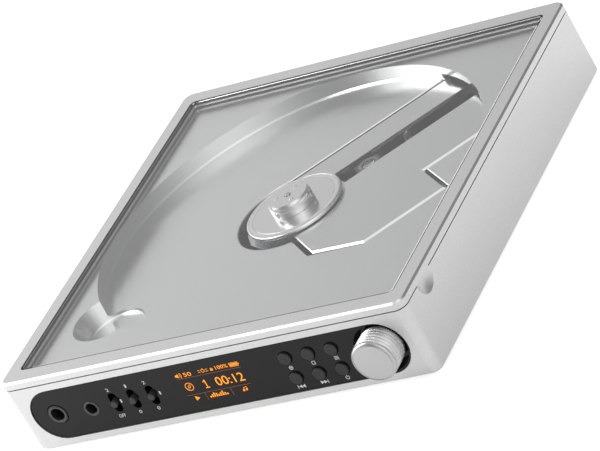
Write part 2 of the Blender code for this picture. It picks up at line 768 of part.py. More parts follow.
def cover_outline(gap=0.0, wide_gap=0.0):
    """The mechanism cover's outline in the sled frame, grown by the gaps round it."""
    end_u = COVER_END_RADIUS
    root = math.sqrt(2.0) - 1.0
    return [
        (end_u, COVER_EDGE_V + wide_gap),
        (0.0, COVER_EDGE_V + wide_gap),
        (0.0, -HUB_HOLE_RADIUS / 2),
        (COVER_FRONT_U - wide_gap, -HUB_HOLE_RADIUS / 2),
        (COVER_FRONT_U - wide_gap, COVER_CORNER_V - gap * root),
        (COVER_DIAGONAL_U - gap * root, COVER_RIGHT_V - gap),
        (COVER_STEP_U + gap, COVER_RIGHT_V - gap),
        (COVER_STEP_U + gap, COVER_STEP_V - gap),
        (end_u, COVER_STEP_V - gap),
    ]


def build_deck():
    half_width = INNER_HALF_WIDTH - FIT_GAP
    deck = box(
        "disc_well_deck",
        (-half_width, INNER_FRONT + FIT_GAP, DECK_UNDER_Z),
        (half_width, INNER_BACK - FIT_GAP, DECK_TOP_Z),
        BODY_FRAME,
    )
    bowl = cylinder(
        "well_bowl",
        WELL_RADIUS + WELL_WALL,
        (0.0, 0.0, FLOOR_UNDER_Z),
        (0.0, 0.0, DECK_UNDER_Z + DECK_THICKNESS / 2),
        BODY_FRAME,
        cutter=True,
        steps=WELL_STEPS,
    )
    join(deck, bowl)
    hollow = turned(
        "well_hollow",
        [
            (0.0, DECK_TOP_Z + OVERRUN),
            (WELL_RADIUS, DECK_TOP_Z + OVERRUN),
            (WELL_RADIUS, FLOOR_Z + WELL_FILLET),
            (WELL_RADIUS - WELL_FILLET, FLOOR_Z),
            (0.0, FLOOR_Z),
        ],
        BODY_FRAME,
        cutter=True,
        steps=WELL_STEPS,
    )
    cut(deck, hollow)
    scoop_top = polar(WELL_RADIUS, SCOOP_ANGLE, DECK_TOP_Z)
    scoop_foot_z = DECK_TOP_Z - SCOOP_DEPTH
    fillet_middle = (SCOOP_FOOT_RADIUS - SCOOP_FILLET, scoop_foot_z + SCOOP_FILLET)
    scoop = turned(
        "finger_scoop",
        [
            (0.0, DECK_TOP_Z + OVERRUN),
            (SCOOP_RADIUS, DECK_TOP_Z + OVERRUN),
            (SCOOP_RADIUS, DECK_TOP_Z),
        ]
        + arc(fillet_middle, SCOOP_FILLET, 0.0, -90.0, 4)
        + [(0.0, scoop_foot_z)],
        BODY_FRAME @ Matrix.Translation(polar(WELL_RADIUS, SCOOP_ANGLE)),
        cutter=True,
        steps=FINE_STEPS,
    )
    scoop_shell = cylinder(
        "finger_scoop_shell",
        SCOOP_FOOT_RADIUS + WELL_WALL,
        polar(WELL_RADIUS, SCOOP_ANGLE, FLOOR_UNDER_Z),
        scoop_top - Vector((0.0, 0.0, DECK_THICKNESS / 2)),
        BODY_FRAME,
        cutter=True,
        steps=FINE_STEPS,
        end_radius=SCOOP_RADIUS + WELL_WALL,
    )
    join(deck, scoop_shell)
    cut(deck, hollow)
    cut(deck, scoop)
    hub_hole = cylinder(
        "hub_hole",
        HUB_HOLE_RADIUS,
        (0.0, 0.0, FLOOR_UNDER_Z - OVERRUN),
        (0.0, 0.0, FLOOR_Z + OVERRUN),
        BODY_FRAME,
        cutter=True,
        steps=FINE_STEPS,
    )
    opening = prism(
        "mechanism_opening",
        cover_outline(COVER_GAP, COVER_WIDE_GAP),
        FLOOR_UNDER_Z - OVERRUN,
        FLOOR_Z + WELL_FILLET / 2,
        SLED_FRAME,
        cutter=True,
    )
    within = cylinder(
        "mechanism_opening_limit",
        WELL_RADIUS,
        (0.0, 0.0, FLOOR_UNDER_Z - 2 * OVERRUN),
        (0.0, 0.0, FLOOR_Z + OVERRUN),
        SLED_FRAME,
        cutter=True,
        steps=WELL_STEPS,
    )
    boolean(opening, within, "INTERSECT")
    flare = prism(
        "mechanism_opening_flare",
        cover_outline(COVER_GAP + OPENING_CHAMFER, COVER_WIDE_GAP + OPENING_CHAMFER),
        FLOOR_Z - OPENING_CHAMFER,
        FLOOR_Z + WELL_FILLET / 2,
        SLED_FRAME,
        cutter=True,
    )
    chamfer_edges(flare, FLOOR_Z - OPENING_CHAMFER, OPENING_CHAMFER, 0.0)
    boolean(flare, within, "INTERSECT")
    hub_flare = cylinder(
        "hub_hole_flare",
        HUB_HOLE_RADIUS,
        (0.0, 0.0, FLOOR_Z - OPENING_CHAMFER),
        (0.0, 0.0, FLOOR_Z + OPENING_CHAMFER),
        BODY_FRAME,
        cutter=True,
        steps=FINE_STEPS,
        end_radius=HUB_HOLE_RADIUS + 2 * OPENING_CHAMFER,
    )
    arch = box(
        "pickup_arch",
        (SLOT_END_U - ARCH_DEPTH, SLOT_RIGHT_V - ARCH_MARGIN - COVER_GAP, FLOOR_UNDER_Z - OVERRUN),
        (WELL_RADIUS + ARCH_DEPTH, COVER_EDGE_V + COVER_WIDE_GAP, FLOOR_Z + ARCH_HEIGHT),
        SLED_FRAME,
        cutter=True,
    )
    cut(deck, hub_hole, opening, flare, hub_flare, arch)
    magnet_pocket = box(
        "deck_magnet_pocket",
        (-MAGNET_LENGTH / 2 - FIT_GAP, magnet_place() - FIT_GAP, DECK_TOP_Z - MAGNET_THICKNESS - FIT_GAP),
        (
            MAGNET_LENGTH / 2 + FIT_GAP,
            magnet_place() + MAGNET_WIDTH + FIT_GAP,
            DECK_TOP_Z + OVERRUN,
        ),
        BODY_FRAME,
        cutter=True,
    )
    cut(deck, magnet_pocket)
    return finish_part(deck, PLAYER, SATIN)


def magnet_place():
    """Front edge of the magnets, set back from the window in the lid's front border."""
    return -HOUSING_DEPTH / 2 + LID_END_BORDER - MAGNET_SETBACK - MAGNET_WIDTH


def build_magnets():
    low_y = magnet_place()
    half = MAGNET_LENGTH / 2
    body_magnet = box(
        "body_magnet",
        (-half, low_y, DECK_TOP_Z - MAGNET_THICKNESS),
        (half, low_y + MAGNET_WIDTH, DECK_TOP_Z),
        BODY_FRAME,
    )
    finish_part(body_magnet, PLAYER, STEEL)
    lid_magnet = box(
        "lid_magnet",
        (-half, low_y, LID_BOTTOM_Z),
        (half, low_y + MAGNET_WIDTH, LID_BOTTOM_Z + MAGNET_THICKNESS),
        BODY_FRAME,
    )
    finish_part(lid_magnet, LID_AXIS, STEEL)


def opening_outline(shrink):
    width = HOUSING_WIDTH - 2 * LID_SIDE_BORDER - 2 * shrink
    depth = HOUSING_DEPTH - 2 * LID_END_BORDER - 2 * shrink
    return rounded_rectangle(width, depth, max(WINDOW_RADIUS - shrink, WINDOW_RADIUS / 3))


def build_lid():
    outline = rounded_rectangle(HOUSING_WIDTH, HOUSING_DEPTH, CORNER_RADIUS)
    frame = prism("lid_frame", outline, LID_BOTTOM_Z, LID_TOP_Z, BODY_FRAME)
    chamfer_edges(frame, LID_TOP_Z, LID_CHAMFER, 0.0)
    # The bead's facets are turned by half a step, so that none of its edges lies in a plane of the lid
    half_step = math.pi / ROUND_STEPS
    bead = cylinder(
        "lid_bead",
        BEAD_RADIUS,
        (-HOUSING_WIDTH / 2, 0.0, 0.0),
        (HOUSING_WIDTH / 2, 0.0, 0.0),
        HINGE_FRAME,
        cutter=True,
        roll=half_step,
    )
    inset = HOUSING_WIDTH / 2 - GROOVE_END_SKIN - FIT_GAP
    bead_limit = prism(
        "lid_bead_limit",
        rounded_rectangle(2 * inset, HOUSING_DEPTH, CORNER_RADIUS),
        LID_BOTTOM_Z - 2 * BEAD_RADIUS,
        LID_BOTTOM_Z + LID_THICKNESS / 2,
        BODY_FRAME,
        cutter=True,
    )
    boolean(bead, bead_limit, "INTERSECT")
    join(frame, bead)
    opening = prism(
        "window_opening",
        opening_outline(0.0),
        LID_BOTTOM_Z + LEDGE_THICKNESS,
        LID_TOP_Z + OVERRUN,
        BODY_FRAME,
        cutter=True,
    )
    light = prism(
        "window_light",
        opening_outline(LEDGE_WIDTH),
        LID_BOTTOM_Z - OVERRUN,
        LID_TOP_Z,
        BODY_FRAME,
        cutter=True,
    )
    cut(frame, opening, light)
    for side in (-1, 1):
        half = BRACKET_WIDTH / 2 + FIT_GAP
        relief = cylinder(
            f"bracket_relief_{side}",
            BARREL_RADIUS + GROOVE_GAP,
            (side * BRACKET_X - half, 0.0, 0.0),
            (side * BRACKET_X + half, 0.0, 0.0),
            HINGE_FRAME,
            cutter=True,
            roll=half_step,
        )
        reach = BRACKET_WIDTH / 2 + PIN_REACH + FIT_GAP
        bore = cylinder(
            f"lid_pin_bore_{side}",
            PIN_RADIUS + PIN_CLEARANCE,
            (side * BRACKET_X - reach, 0.0, 0.0),
            (side * BRACKET_X + reach, 0.0, 0.0),
            HINGE_FRAME,
            cutter=True,
            steps=BUTTON_STEPS,
        )
        cut(frame, relief, bore)
    magnet_pocket = box(
        "lid_magnet_pocket",
        (-MAGNET_LENGTH / 2 - FIT_GAP, magnet_place() - FIT_GAP, LID_BOTTOM_Z - OVERRUN),
        (
            MAGNET_LENGTH / 2 + FIT_GAP,
            magnet_place() + MAGNET_WIDTH + FIT_GAP,
            LID_BOTTOM_Z + MAGNET_THICKNESS + FIT_GAP,
        ),
        BODY_FRAME,
        cutter=True,
    )
    cut(frame, magnet_pocket)
    finish_part(frame, LID_AXIS, BLASTED)
    pane_top = LID_TOP_Z - PANE_SUNK
    pane_low = pane_top - PANE_THICKNESS
    pane = prism("window_pane", opening_outline(PANE_GAP), pane_low, pane_top, BODY_FRAME)
    finish_part(pane, LID_AXIS, GLASS)
    gasket = prism(
        "window_gasket",
        opening_outline(GASKET_GAP),
        LID_BOTTOM_Z + LEDGE_THICKNESS + GASKET_GAP,
        LID_TOP_Z - 2 * PANE_SUNK,
        BODY_FRAME,
    )
    gasket_hole = prism(
        "gasket_hole",
        opening_outline(LEDGE_WIDTH - GASKET_GAP),
        LID_BOTTOM_Z,
        LID_TOP_Z,
        BODY_FRAME,
        cutter=True,
    )
    pane_seat = prism(
        "pane_seat",
        opening_outline(PANE_GAP - GASKET_GAP),
        pane_low - GASKET_GAP,
        LID_TOP_Z + OVERRUN,
        BODY_FRAME,
        cutter=True,
    )
    cut(gasket, gasket_hole, pane_seat)
    finish_part(gasket, LID_AXIS, RUBBER)


def build_hinge():
    for side, word in ((-1, "left"), (1, "right")):
        half = BRACKET_WIDTH / 2
        bracket = cylinder(
            f"hinge_bracket_{word}",
            BARREL_RADIUS,
            (side * BRACKET_X - half, 0.0, 0.0),
            (side * BRACKET_X + half, 0.0, 0.0),
            HINGE_FRAME,
            steps=SMALL_STEPS,
        )
        arm = box(
            f"hinge_arm_{word}",
            (side * BRACKET_X - half, -BARREL_RADIUS, -BRACKET_DROP),
            (side * BRACKET_X + half, BRACKET_THICKNESS - BARREL_RADIUS, 0.0),
            HINGE_FRAME,
            cutter=True,
        )
        bore = cylinder(
            f"bracket_bore_{word}",
            PIN_RADIUS + PIN_CLEARANCE,
            (side * BRACKET_X - half - OVERRUN, 0.0, 0.0),
            (side * BRACKET_X + half + OVERRUN, 0.0, 0.0),
            HINGE_FRAME,
            cutter=True,
            steps=BUTTON_STEPS,
        )
        join(bracket, arm)
        cut(bracket, bore)
        finish_part(bracket, PLAYER, STEEL)
        reach = half + PIN_REACH
        pin = cylinder(
            f"hinge_pin_{word}",
            PIN_RADIUS,
            (side * BRACKET_X - reach, 0.0, 0.0),
            (side * BRACKET_X + reach, 0.0, 0.0),
            HINGE_FRAME,
            steps=SMALL_STEPS,
        )
        finish_part(pin, PLAYER, STEEL)


def foot_places():
    across = HOUSING_WIDTH / 2 - FOOT_INSET
    back = HOUSING_DEPTH / 2 - FOOT_INSET
    return {
        "front_left": (-across, -back),
        "front_right": (across, -back),
        "back_left": (-across, back),
        "back_right": (across, back),
    }


def build_underside():
    half_width = INNER_HALF_WIDTH - FIT_GAP
    cover = box(
        "bottom_cover",
        (-half_width, INNER_FRONT + FIT_GAP, 0.0),
        (half_width, INNER_BACK - FIT_GAP, COVER_PLATE_THICKNESS),
        BODY_FRAME,
    )
    for number, (across, back) in enumerate(post_places(), start=1):
        countersink = cylinder(
            f"cover_countersink_{number}",
            SCREW_HEAD_RADIUS,
            (across, back, -FIT_GAP),
            (across, back, COVER_PLATE_THICKNESS + FIT_GAP),
            BODY_FRAME,
            cutter=True,
            steps=SMALL_STEPS,
            end_radius=SCREW_HOLE_RADIUS,
        )
        cut(cover, countersink)
    for word, (across, back) in foot_places().items():
        recess = cylinder(
            f"foot_recess_{word}",
            FOOT_RADIUS + FIT_GAP,
            (across, back, -OVERRUN),
            (across, back, FOOT_SUNK),
            BODY_FRAME,
            cutter=True,
            steps=BUTTON_STEPS,
        )
        cut(cover, recess)
        foot = turned(
            f"foot_{word}",
            [
                (0.0, FOOT_SUNK - FIT_GAP),
                (FOOT_RADIUS, FOOT_SUNK - FIT_GAP),
                (FOOT_RADIUS, -FOOT_PROUD / 2),
                (FOOT_RADIUS - FOOT_PROUD / 2, -FOOT_PROUD),
                (0.0, -FOOT_PROUD),
            ],
            BODY_FRAME @ Matrix.Translation((across, back, 0.0)),
            steps=BUTTON_STEPS,
        )
        finish_part(foot, PLAYER, RUBBER)
    return finish_part(cover, PLAYER, BLASTED)


def switch_places():
    return [SWITCH_FIRST_X + SWITCH_SPACING * index for index in range(SWITCH_COUNT)]


BUTTON_NAMES = ("display", "stop", "mode", "previous", "next", "power")


def button_places():
    """Upper row first, left to right."""
    columns = [BUTTON_FIRST_X + BUTTON_SPACING_X * column for column in range(BUTTON_COLUMNS)]
    return [(across, level) for level in (BUTTON_UPPER_Z, BUTTON_LOWER_Z) for across in columns]


def build_panel():
    length = PANEL_LENGTH - 2 * PANEL_GAP
    height = PANEL_HEIGHT - 2 * PANEL_GAP
    plug = slot_outline(length, height, (0.0, PANEL_Z), steps=BUTTON_STEPS)
    plug_back = -PANEL_BACK + FLANGE_PLATE_THICKNESS / 2
    panel = prism("front_panel", plug, plug_back, -PANEL_RECESS, FRONT_FRAME)
    flange = box(
        "panel_flange",
        (
            -FLANGE_PLATE_LENGTH / 2,
            PANEL_Z - FLANGE_PLATE_HEIGHT / 2,
            -PANEL_BACK,
        ),
        (
            FLANGE_PLATE_LENGTH / 2,
            PANEL_Z + FLANGE_PLATE_HEIGHT / 2,
            -PANEL_BACK + FLANGE_PLATE_THICKNESS,
        ),
        FRONT_FRAME,
        cutter=True,
    )
    join(panel, flange)
    jacks = (
        ("large", LARGE_JACK_X, LARGE_JACK_Z, LARGE_JACK_RADIUS),
        ("small", SMALL_JACK_X, SMALL_JACK_Z, SMALL_JACK_RADIUS),
    )
    for word, across, level, radius in jacks:
        hole = cylinder(
            f"panel_{word}_jack_hole",
            radius + FIT_GAP,
            (across, level, -PANEL_BACK - OVERRUN),
            (across, level, OVERRUN),
            FRONT_FRAME,
            cutter=True,
        )
        cut(panel, hole)
    for number, across in enumerate(switch_places(), start=1):
        slot = prism(
            f"panel_switch_slot_{number}",
            slot_outline(SWITCH_SLOT_WIDTH, SWITCH_SLOT_HEIGHT, (across, SWITCH_Z)),
            -PANEL_BACK - OVERRUN,
            OVERRUN,
            FRONT_FRAME,
            cutter=True,
        )
        cut(panel, slot)
    for word, (across, level) in zip(BUTTON_NAMES, button_places()):
        hole = cylinder(
            f"panel_button_hole_{word}",
            BUTTON_RADIUS + BUTTON_CLEARANCE,
            (across, level, -PANEL_BACK - OVERRUN),
            (across, level, OVERRUN),
            FRONT_FRAME,
            cutter=True,
            steps=BUTTON_STEPS,
        )
        cut(panel, hole)
    knob_well = cylinder(
        "panel_knob_well",
        KNOB_WELL_RADIUS,
        (0.0, 0.0, -PANEL_BACK + KNOB_WELL_FLOOR),
        (0.0, 0.0, OVERRUN),
        KNOB_FRAME,
        cutter=True,
        steps=FINE_STEPS,
    )
    stem_hole = cylinder(
        "panel_stem_hole",
        STEM_RADIUS + FIT_GAP,
        (0.0, 0.0, -PANEL_BACK - OVERRUN),
        (0.0, 0.0, OVERRUN),
        KNOB_FRAME,
        cutter=True,
    )
    cut(panel, knob_well, stem_hole)
    return finish_part(panel, PLAYER, BLACK_GLOSS)


def build_jack(name, place, frame, radius, bore, body_size, proud, length, bore_depth):
    """A jack: a round nose through the wall, a square body behind it and a bore in its middle."""
    across, level = place
    nose = cylinder(
        name,
        radius,
        (across, level, -PANEL_BACK - FIT_GAP - length / 4),
        (across, level, proud),
        frame,
    )
    body = box(
        name + "_body",
        (across - body_size / 2, level - body_size / 2, -PANEL_BACK - FIT_GAP - length),
        (across + body_size / 2, level + body_size / 2, -PANEL_BACK - FIT_GAP),
        frame,
        cutter=True,
    )
    hole = cylinder(
        name + "_bore",
        bore,
        (across, level, proud - bore_depth),
        (across, level, proud + OVERRUN),
        frame,
        cutter=True,
    )
    mouth = cylinder(
        name + "_mouth",
        bore,
        (across, level, proud - JACK_MOUTH),
        (across, level, proud + JACK_MOUTH),
        frame,
        cutter=True,
        end_radius=bore + 2 * JACK_MOUTH,
    )
    join(nose, body)
    cut(nose, hole, mouth)
    return finish_part(nose, PLAYER, BLACK_MATTE)


def build_jacks():
    proud = JACK_PROUD - PANEL_RECESS
    build_jack(
        "balanced_headphone_jack",
        (LARGE_JACK_X, LARGE_JACK_Z),
        FRONT_FRAME,
        LARGE_JACK_RADIUS,
        LARGE_JACK_BORE,
        LARGE_JACK_BODY,
        proud,
        JACK_BODY_LENGTH,
        JACK_BORE_DEPTH,
    )
    build_jack(
        "headphone_jack",
        (SMALL_JACK_X, SMALL_JACK_Z),
        FRONT_FRAME,
        SMALL_JACK_RADIUS,
        SMALL_JACK_BORE,
        SMALL_JACK_BODY,
        proud,
        JACK_BODY_LENGTH,
        JACK_BORE_DEPTH,
    )
    for word, across in zip(("line_out_jack", "digital_out_jack"), rear_jack_places()):
        build_jack(
            word,
            (across, REAR_PORT_Z),
            BACK_FRAME,
            REAR_JACK_RING_RADIUS,
            REAR_JACK_BORE,
            REAR_JACK_BODY,
            -PANEL_RECESS,
            REAR_JACK_LENGTH,
            REAR_JACK_BORE_DEPTH,
        )
    for word, across in zip(("usb_power_port", "usb_data_port"), usb_places()):
        shell = prism(
            word,
            slot_outline(USB_WIDTH, USB_HEIGHT, (across, REAR_PORT_Z)),
            -PANEL_RECESS - USB_DEPTH,
            -PANEL_RECESS,
            BACK_FRAME,
        )
        mouth = prism(
            word + "_mouth",
            slot_outline(USB_WIDTH - 2 * USB_SHELL, USB_HEIGHT - 2 * USB_SHELL, (across, REAR_PORT_Z)),
            -PANEL_RECESS - USB_DEPTH + 2 * USB_SHELL,
            OVERRUN,
            BACK_FRAME,
            cutter=True,
        )
        tongue = box(
            word + "_tongue",
            (across - USB_WIDTH / 3, REAR_PORT_Z - USB_SHELL, -PANEL_RECESS - USB_DEPTH + USB_SHELL),
            (across + USB_WIDTH / 3, REAR_PORT_Z + USB_SHELL, -PANEL_RECESS - 2 * USB_SHELL),
            BACK_FRAME,
            cutter=True,
        )
        cut(shell, mouth)
        join(shell, tongue)
        finish_part(shell, PLAYER, STEEL)


def build_switches():
    plate_front = -COLLAR_FRONT
    plate_back = plate_front - SLIDER_PLATE_THICKNESS
    for number, across in enumerate(switch_places(), start=1):
        axis = FRONT_FRAME @ Matrix.Translation((across, SWITCH_Z, 0.0))
        body = make_empty(f"switch_{number}_axis", axis)
        slider = cylinder(
            f"switch_slider_{number}",
            SLIDER_RADIUS,
            (0.0, 0.0, plate_back + SLIDER_PLATE_THICKNESS / 2),
            (0.0, 0.0, SLIDER_PROUD - PANEL_RECESS),
            axis,
            steps=BUTTON_STEPS,
        )
        plate = box(
            f"switch_slider_plate_{number}",
            (-SLIDER_PLATE_WIDTH / 2, -SLIDER_PLATE_HEIGHT / 2, plate_back),
            (SLIDER_PLATE_WIDTH / 2, SLIDER_PLATE_HEIGHT / 2, plate_front),
            axis,
            cutter=True,
        )
        join(slider, plate)
        finish_part(slider, body, BLACK_MATTE)
    bank_front = plate_back - FIT_GAP
    bank = box(
        "switch_bank",
        (
            SWITCH_FIRST_X - SWITCH_BANK_MARGIN,
            SWITCH_Z - SWITCH_BANK_HEIGHT / 2,
            bank_front - SWITCH_BANK_THICKNESS,
        ),
        (SWITCH_LAST_X + SWITCH_BANK_MARGIN, SWITCH_Z + SWITCH_BANK_HEIGHT / 2, bank_front),
        FRONT_FRAME,
    )
    finish_part(bank, PLAYER, BLACK_MATTE)


def build_buttons():
    collar_back = -COLLAR_FRONT - BUTTON_COLLAR_THICKNESS
    face = BUTTON_PROUD - PANEL_RECESS
    for word, (across, level) in zip(BUTTON_NAMES, button_places()):
        axis = FRONT_FRAME @ Matrix.Translation((across, level, 0.0))
        body = make_empty(f"button_{word}_axis", axis)
        button = turned(
            f"button_{word}",
            [
                (0.0, face),
                (BUTTON_RADIUS - BUTTON_CHAMFER, face),
                (BUTTON_RADIUS, face - BUTTON_CHAMFER),
                (BUTTON_RADIUS, -COLLAR_FRONT),
                (BUTTON_COLLAR_RADIUS, -COLLAR_FRONT),
                (BUTTON_COLLAR_RADIUS, collar_back),
                (0.0, collar_back),
            ],
            axis,
            steps=BUTTON_STEPS,
        )
        finish_part(button, body, BLACK_MATTE)
    front = -KEY_BOARD_FRONT
    board = box(
        "key_board",
        (KEY_BOARD_LEFT_X, KEY_BOARD_BOTTOM_Z, front - KEY_BOARD_THICKNESS),
        (KEY_BOARD_RIGHT_X, KEY_BOARD_TOP_Z, front),
        FRONT_FRAME,
    )
    for word, (across, level) in zip(BUTTON_NAMES, button_places()):
        dome = cylinder(
            f"key_dome_{word}",
            KEY_DOME_RADIUS,
            (across, level, front - KEY_BOARD_THICKNESS / 2),
            (across, level, front + KEY_DOME_HEIGHT),
            FRONT_FRAME,
            cutter=True,
            steps=SMALL_STEPS // 2,
        )
        join(board, dome)
    finish_part(board, PLAYER, BOARD)
    display = box(
        "display_module",
        (DISPLAY_LEFT_X, DISPLAY_Z - DISPLAY_HEIGHT / 2, -COLLAR_FRONT - DISPLAY_THICKNESS),
        (DISPLAY_RIGHT_X, DISPLAY_Z + DISPLAY_HEIGHT / 2, -COLLAR_FRONT),
        FRONT_FRAME,
    )
    finish_part(display, PLAYER, BLACK_GLOSS)


def build_knob():
    stem_end = PANEL_BACK + ENCODER_BORE_DEPTH
    knob = turned(
        "volume_knob",
        [
            (0.0, KNOB_PROUD),
            (KNOB_RADIUS - KNOB_CHAMFER, KNOB_PROUD),
            (KNOB_RADIUS, KNOB_PROUD - KNOB_CHAMFER),
            (KNOB_RADIUS, -KNOB_SUNK),
            (STEM_RADIUS, -KNOB_SUNK),
            (STEM_RADIUS, -stem_end),
            (0.0, -stem_end),
        ],
        KNOB_FRAME,
        steps=FINE_STEPS,
    )
    finish_part(knob, KNOB_AXIS, SATIN)
    half = ENCODER_SIZE / 2
    encoder_front = -PANEL_BACK - FIT_GAP
    encoder = box(
        "knob_encoder",
        (-half, -half, encoder_front - ENCODER_DEPTH),
        (half, half, encoder_front),
        KNOB_FRAME,
    )
    bore = cylinder(
        "encoder_bore",
        STEM_RADIUS + STEM_CLEARANCE,
        (0.0, 0.0, -stem_end - STEM_CLEARANCE),
        (0.0, 0.0, OVERRUN),
        KNOB_FRAME,
        cutter=True,
    )
    cut(encoder, bore)
    finish_part(encoder, PLAYER, STEEL)


def build_turntable():
    flange_low = FLANGE_TOP_Z - FLANGE_THICKNESS
    bore = SPINDLE_RADIUS + SPINDLE_CLEARANCE
    platter = turned(
        "turntable_flange",
        [
            (PAD_INNER_RADIUS, FLANGE_TOP_Z),
            (PAD_INNER_RADIUS, FLANGE_TOP_Z - PAD_THICKNESS),
            (FLANGE_RADIUS, FLANGE_TOP_Z - PAD_THICKNESS),
            (FLANGE_RADIUS, flange_low + PAD_THICKNESS),
            (FLANGE_RADIUS - PAD_THICKNESS, flange_low),
            (FLANGE_HUB_RADIUS, flange_low),
            (FLANGE_HUB_RADIUS, flange_low - FLANGE_HUB_DROP),
            (bore, flange_low - FLANGE_HUB_DROP),
            (bore, FLANGE_TOP_Z),
        ],
        BODY_FRAME,
        steps=FINE_STEPS,
        ring=True,
    )
    finish_part(platter, DISC_AXIS, POLISHED)
    pad_low = FLANGE_TOP_Z - PAD_THICKNESS
    pad = turned(
        "disc_pad",
        [
            (PAD_OUTER_RADIUS, FLANGE_TOP_Z + PAD_THICKNESS / 2),
            (PAD_OUTER_RADIUS, pad_low + PAD_THICKNESS / 4),
            (PAD_INNER_RADIUS + PAD_THICKNESS / 2, pad_low + PAD_THICKNESS / 4),
            (PAD_INNER_RADIUS + PAD_THICKNESS / 2, FLANGE_TOP_Z + PAD_THICKNESS / 2),
        ],
        BODY_FRAME,
        steps=FINE_STEPS,
        ring=True,
    )
    finish_part(pad, DISC_AXIS, RUBBER)
    boss_low = FLANGE_TOP_Z + FIT_GAP / 4
    boss_high = FLANGE_TOP_Z + BOSS_HEIGHT
    boss = turned(
        "centring_boss",
        [
            (bore, boss_high),
            (BOSS_RADIUS - BOSS_CHAMFER, boss_high),
            (BOSS_RADIUS, boss_high - BOSS_TAPER_HEIGHT),
            (BOSS_RADIUS, boss_low),
            (bore, boss_low),
        ],
        BODY_FRAME,
        steps=FINE_STEPS,
        ring=True,
    )
    for index in range(BALL_COUNT):
        angle = BALL_ANGLE + index * 360.0 / BALL_COUNT
        level = FLANGE_TOP_Z + BALL_RISE
        pocket = cylinder(
            f"ball_pocket_{index + 1}",
            BALL_RADIUS + SPINDLE_CLEARANCE,
            polar(BOSS_RADIUS - BALL_POCKET_DEPTH, angle, level),
            polar(BOSS_RADIUS + OVERRUN, angle, level),
            BODY_FRAME,
            cutter=True,
            steps=SMALL_STEPS,
        )
        cut(boss, pocket)
        stud_place = polar(BOSS_STUD_CIRCLE, angle + 180.0 / BALL_COUNT)
        stud = cylinder(
            f"boss_stud_{index + 1}",
            BOSS_STUD_RADIUS,
            stud_place + Vector((0.0, 0.0, boss_high - BOSS_CHAMFER)),
            stud_place + Vector((0.0, 0.0, boss_high + BOSS_STUD_HEIGHT)),
            BODY_FRAME,
            cutter=True,
            steps=SMALL_STEPS,
        )
        join(boss, stud)
        axis = BODY_FRAME @ Matrix.Translation(polar(BALL_CIRCLE, angle, level))
        body = make_empty(f"chuck_ball_{index + 1}_axis", axis)
        chuck = ball(f"chuck_ball_{index + 1}", BALL_RADIUS, (0.0, 0.0, 0.0), axis, steps=SMALL_STEPS)
        finish_part(chuck, body, STEEL)
    finish_part(boss, DISC_AXIS, POLISHED)
    spindle = cylinder(
        "spindle_shaft",
        SPINDLE_RADIUS,
        (0.0, 0.0, CHASSIS_Z + CHASSIS_THICKNESS + MOTOR_BASE_HEIGHT + FIT_GAP),
        (0.0, 0.0, boss_high + BOSS_STUD_HEIGHT),
        BODY_FRAME,
        steps=BUTTON_STEPS,
    )
    finish_part(spindle, DISC_AXIS, STEEL)


def build_spindle_motor():
    """The motor's base and can, under a round plate that closes the hub hole below the turntable."""
    base_low = CHASSIS_Z + CHASSIS_THICKNESS + FIT_GAP
    base_high = base_low + MOTOR_BASE_HEIGHT
    plate_high = FLOOR_Z - MOTOR_PLATE_DROP
    plate_low = plate_high - MOTOR_PLATE_THICKNESS
    bore = SPINDLE_RADIUS + SPINDLE_CLEARANCE
    motor = turned(
        "spindle_motor",
        [
            (bore, plate_high + MOTOR_NECK_HEIGHT),
            (MOTOR_NECK_RADIUS, plate_high + MOTOR_NECK_HEIGHT),
            (MOTOR_NECK_RADIUS, plate_high),
            (MOTOR_PLATE_RADIUS, plate_high),
            (MOTOR_PLATE_RADIUS, plate_low),
            (MOTOR_CAN_RADIUS, plate_low),
            (MOTOR_CAN_RADIUS, base_high),
            (MOTOR_BASE_RADIUS, base_high),
            (MOTOR_BASE_RADIUS, base_low),
            (0.0, base_low),
            (0.0, base_high),
            (bore, base_high),
        ],
        BODY_FRAME,
        steps=BUTTON_STEPS,
        ring=True,
    )
    finish_part(motor, PLAYER, STEEL)


def cover_post_places():
    """Middles of the cover's posts, in the sled frame."""
    return [
        (COVER_FRONT_U + 2 * COVER_POST_RADIUS, COVER_CORNER_V + 2 * COVER_POST_RADIUS),
        (COVER_STEP_U - 2 * COVER_POST_RADIUS, COVER_RIGHT_V + 2 * COVER_POST_RADIUS),
        (RAIL_START_U + RAIL_END_U - COVER_STEP_U, RAIL_LEFT_V + RAIL_BLOCK_WIDTH + COVER_POST_RADIUS / 3),
    ]


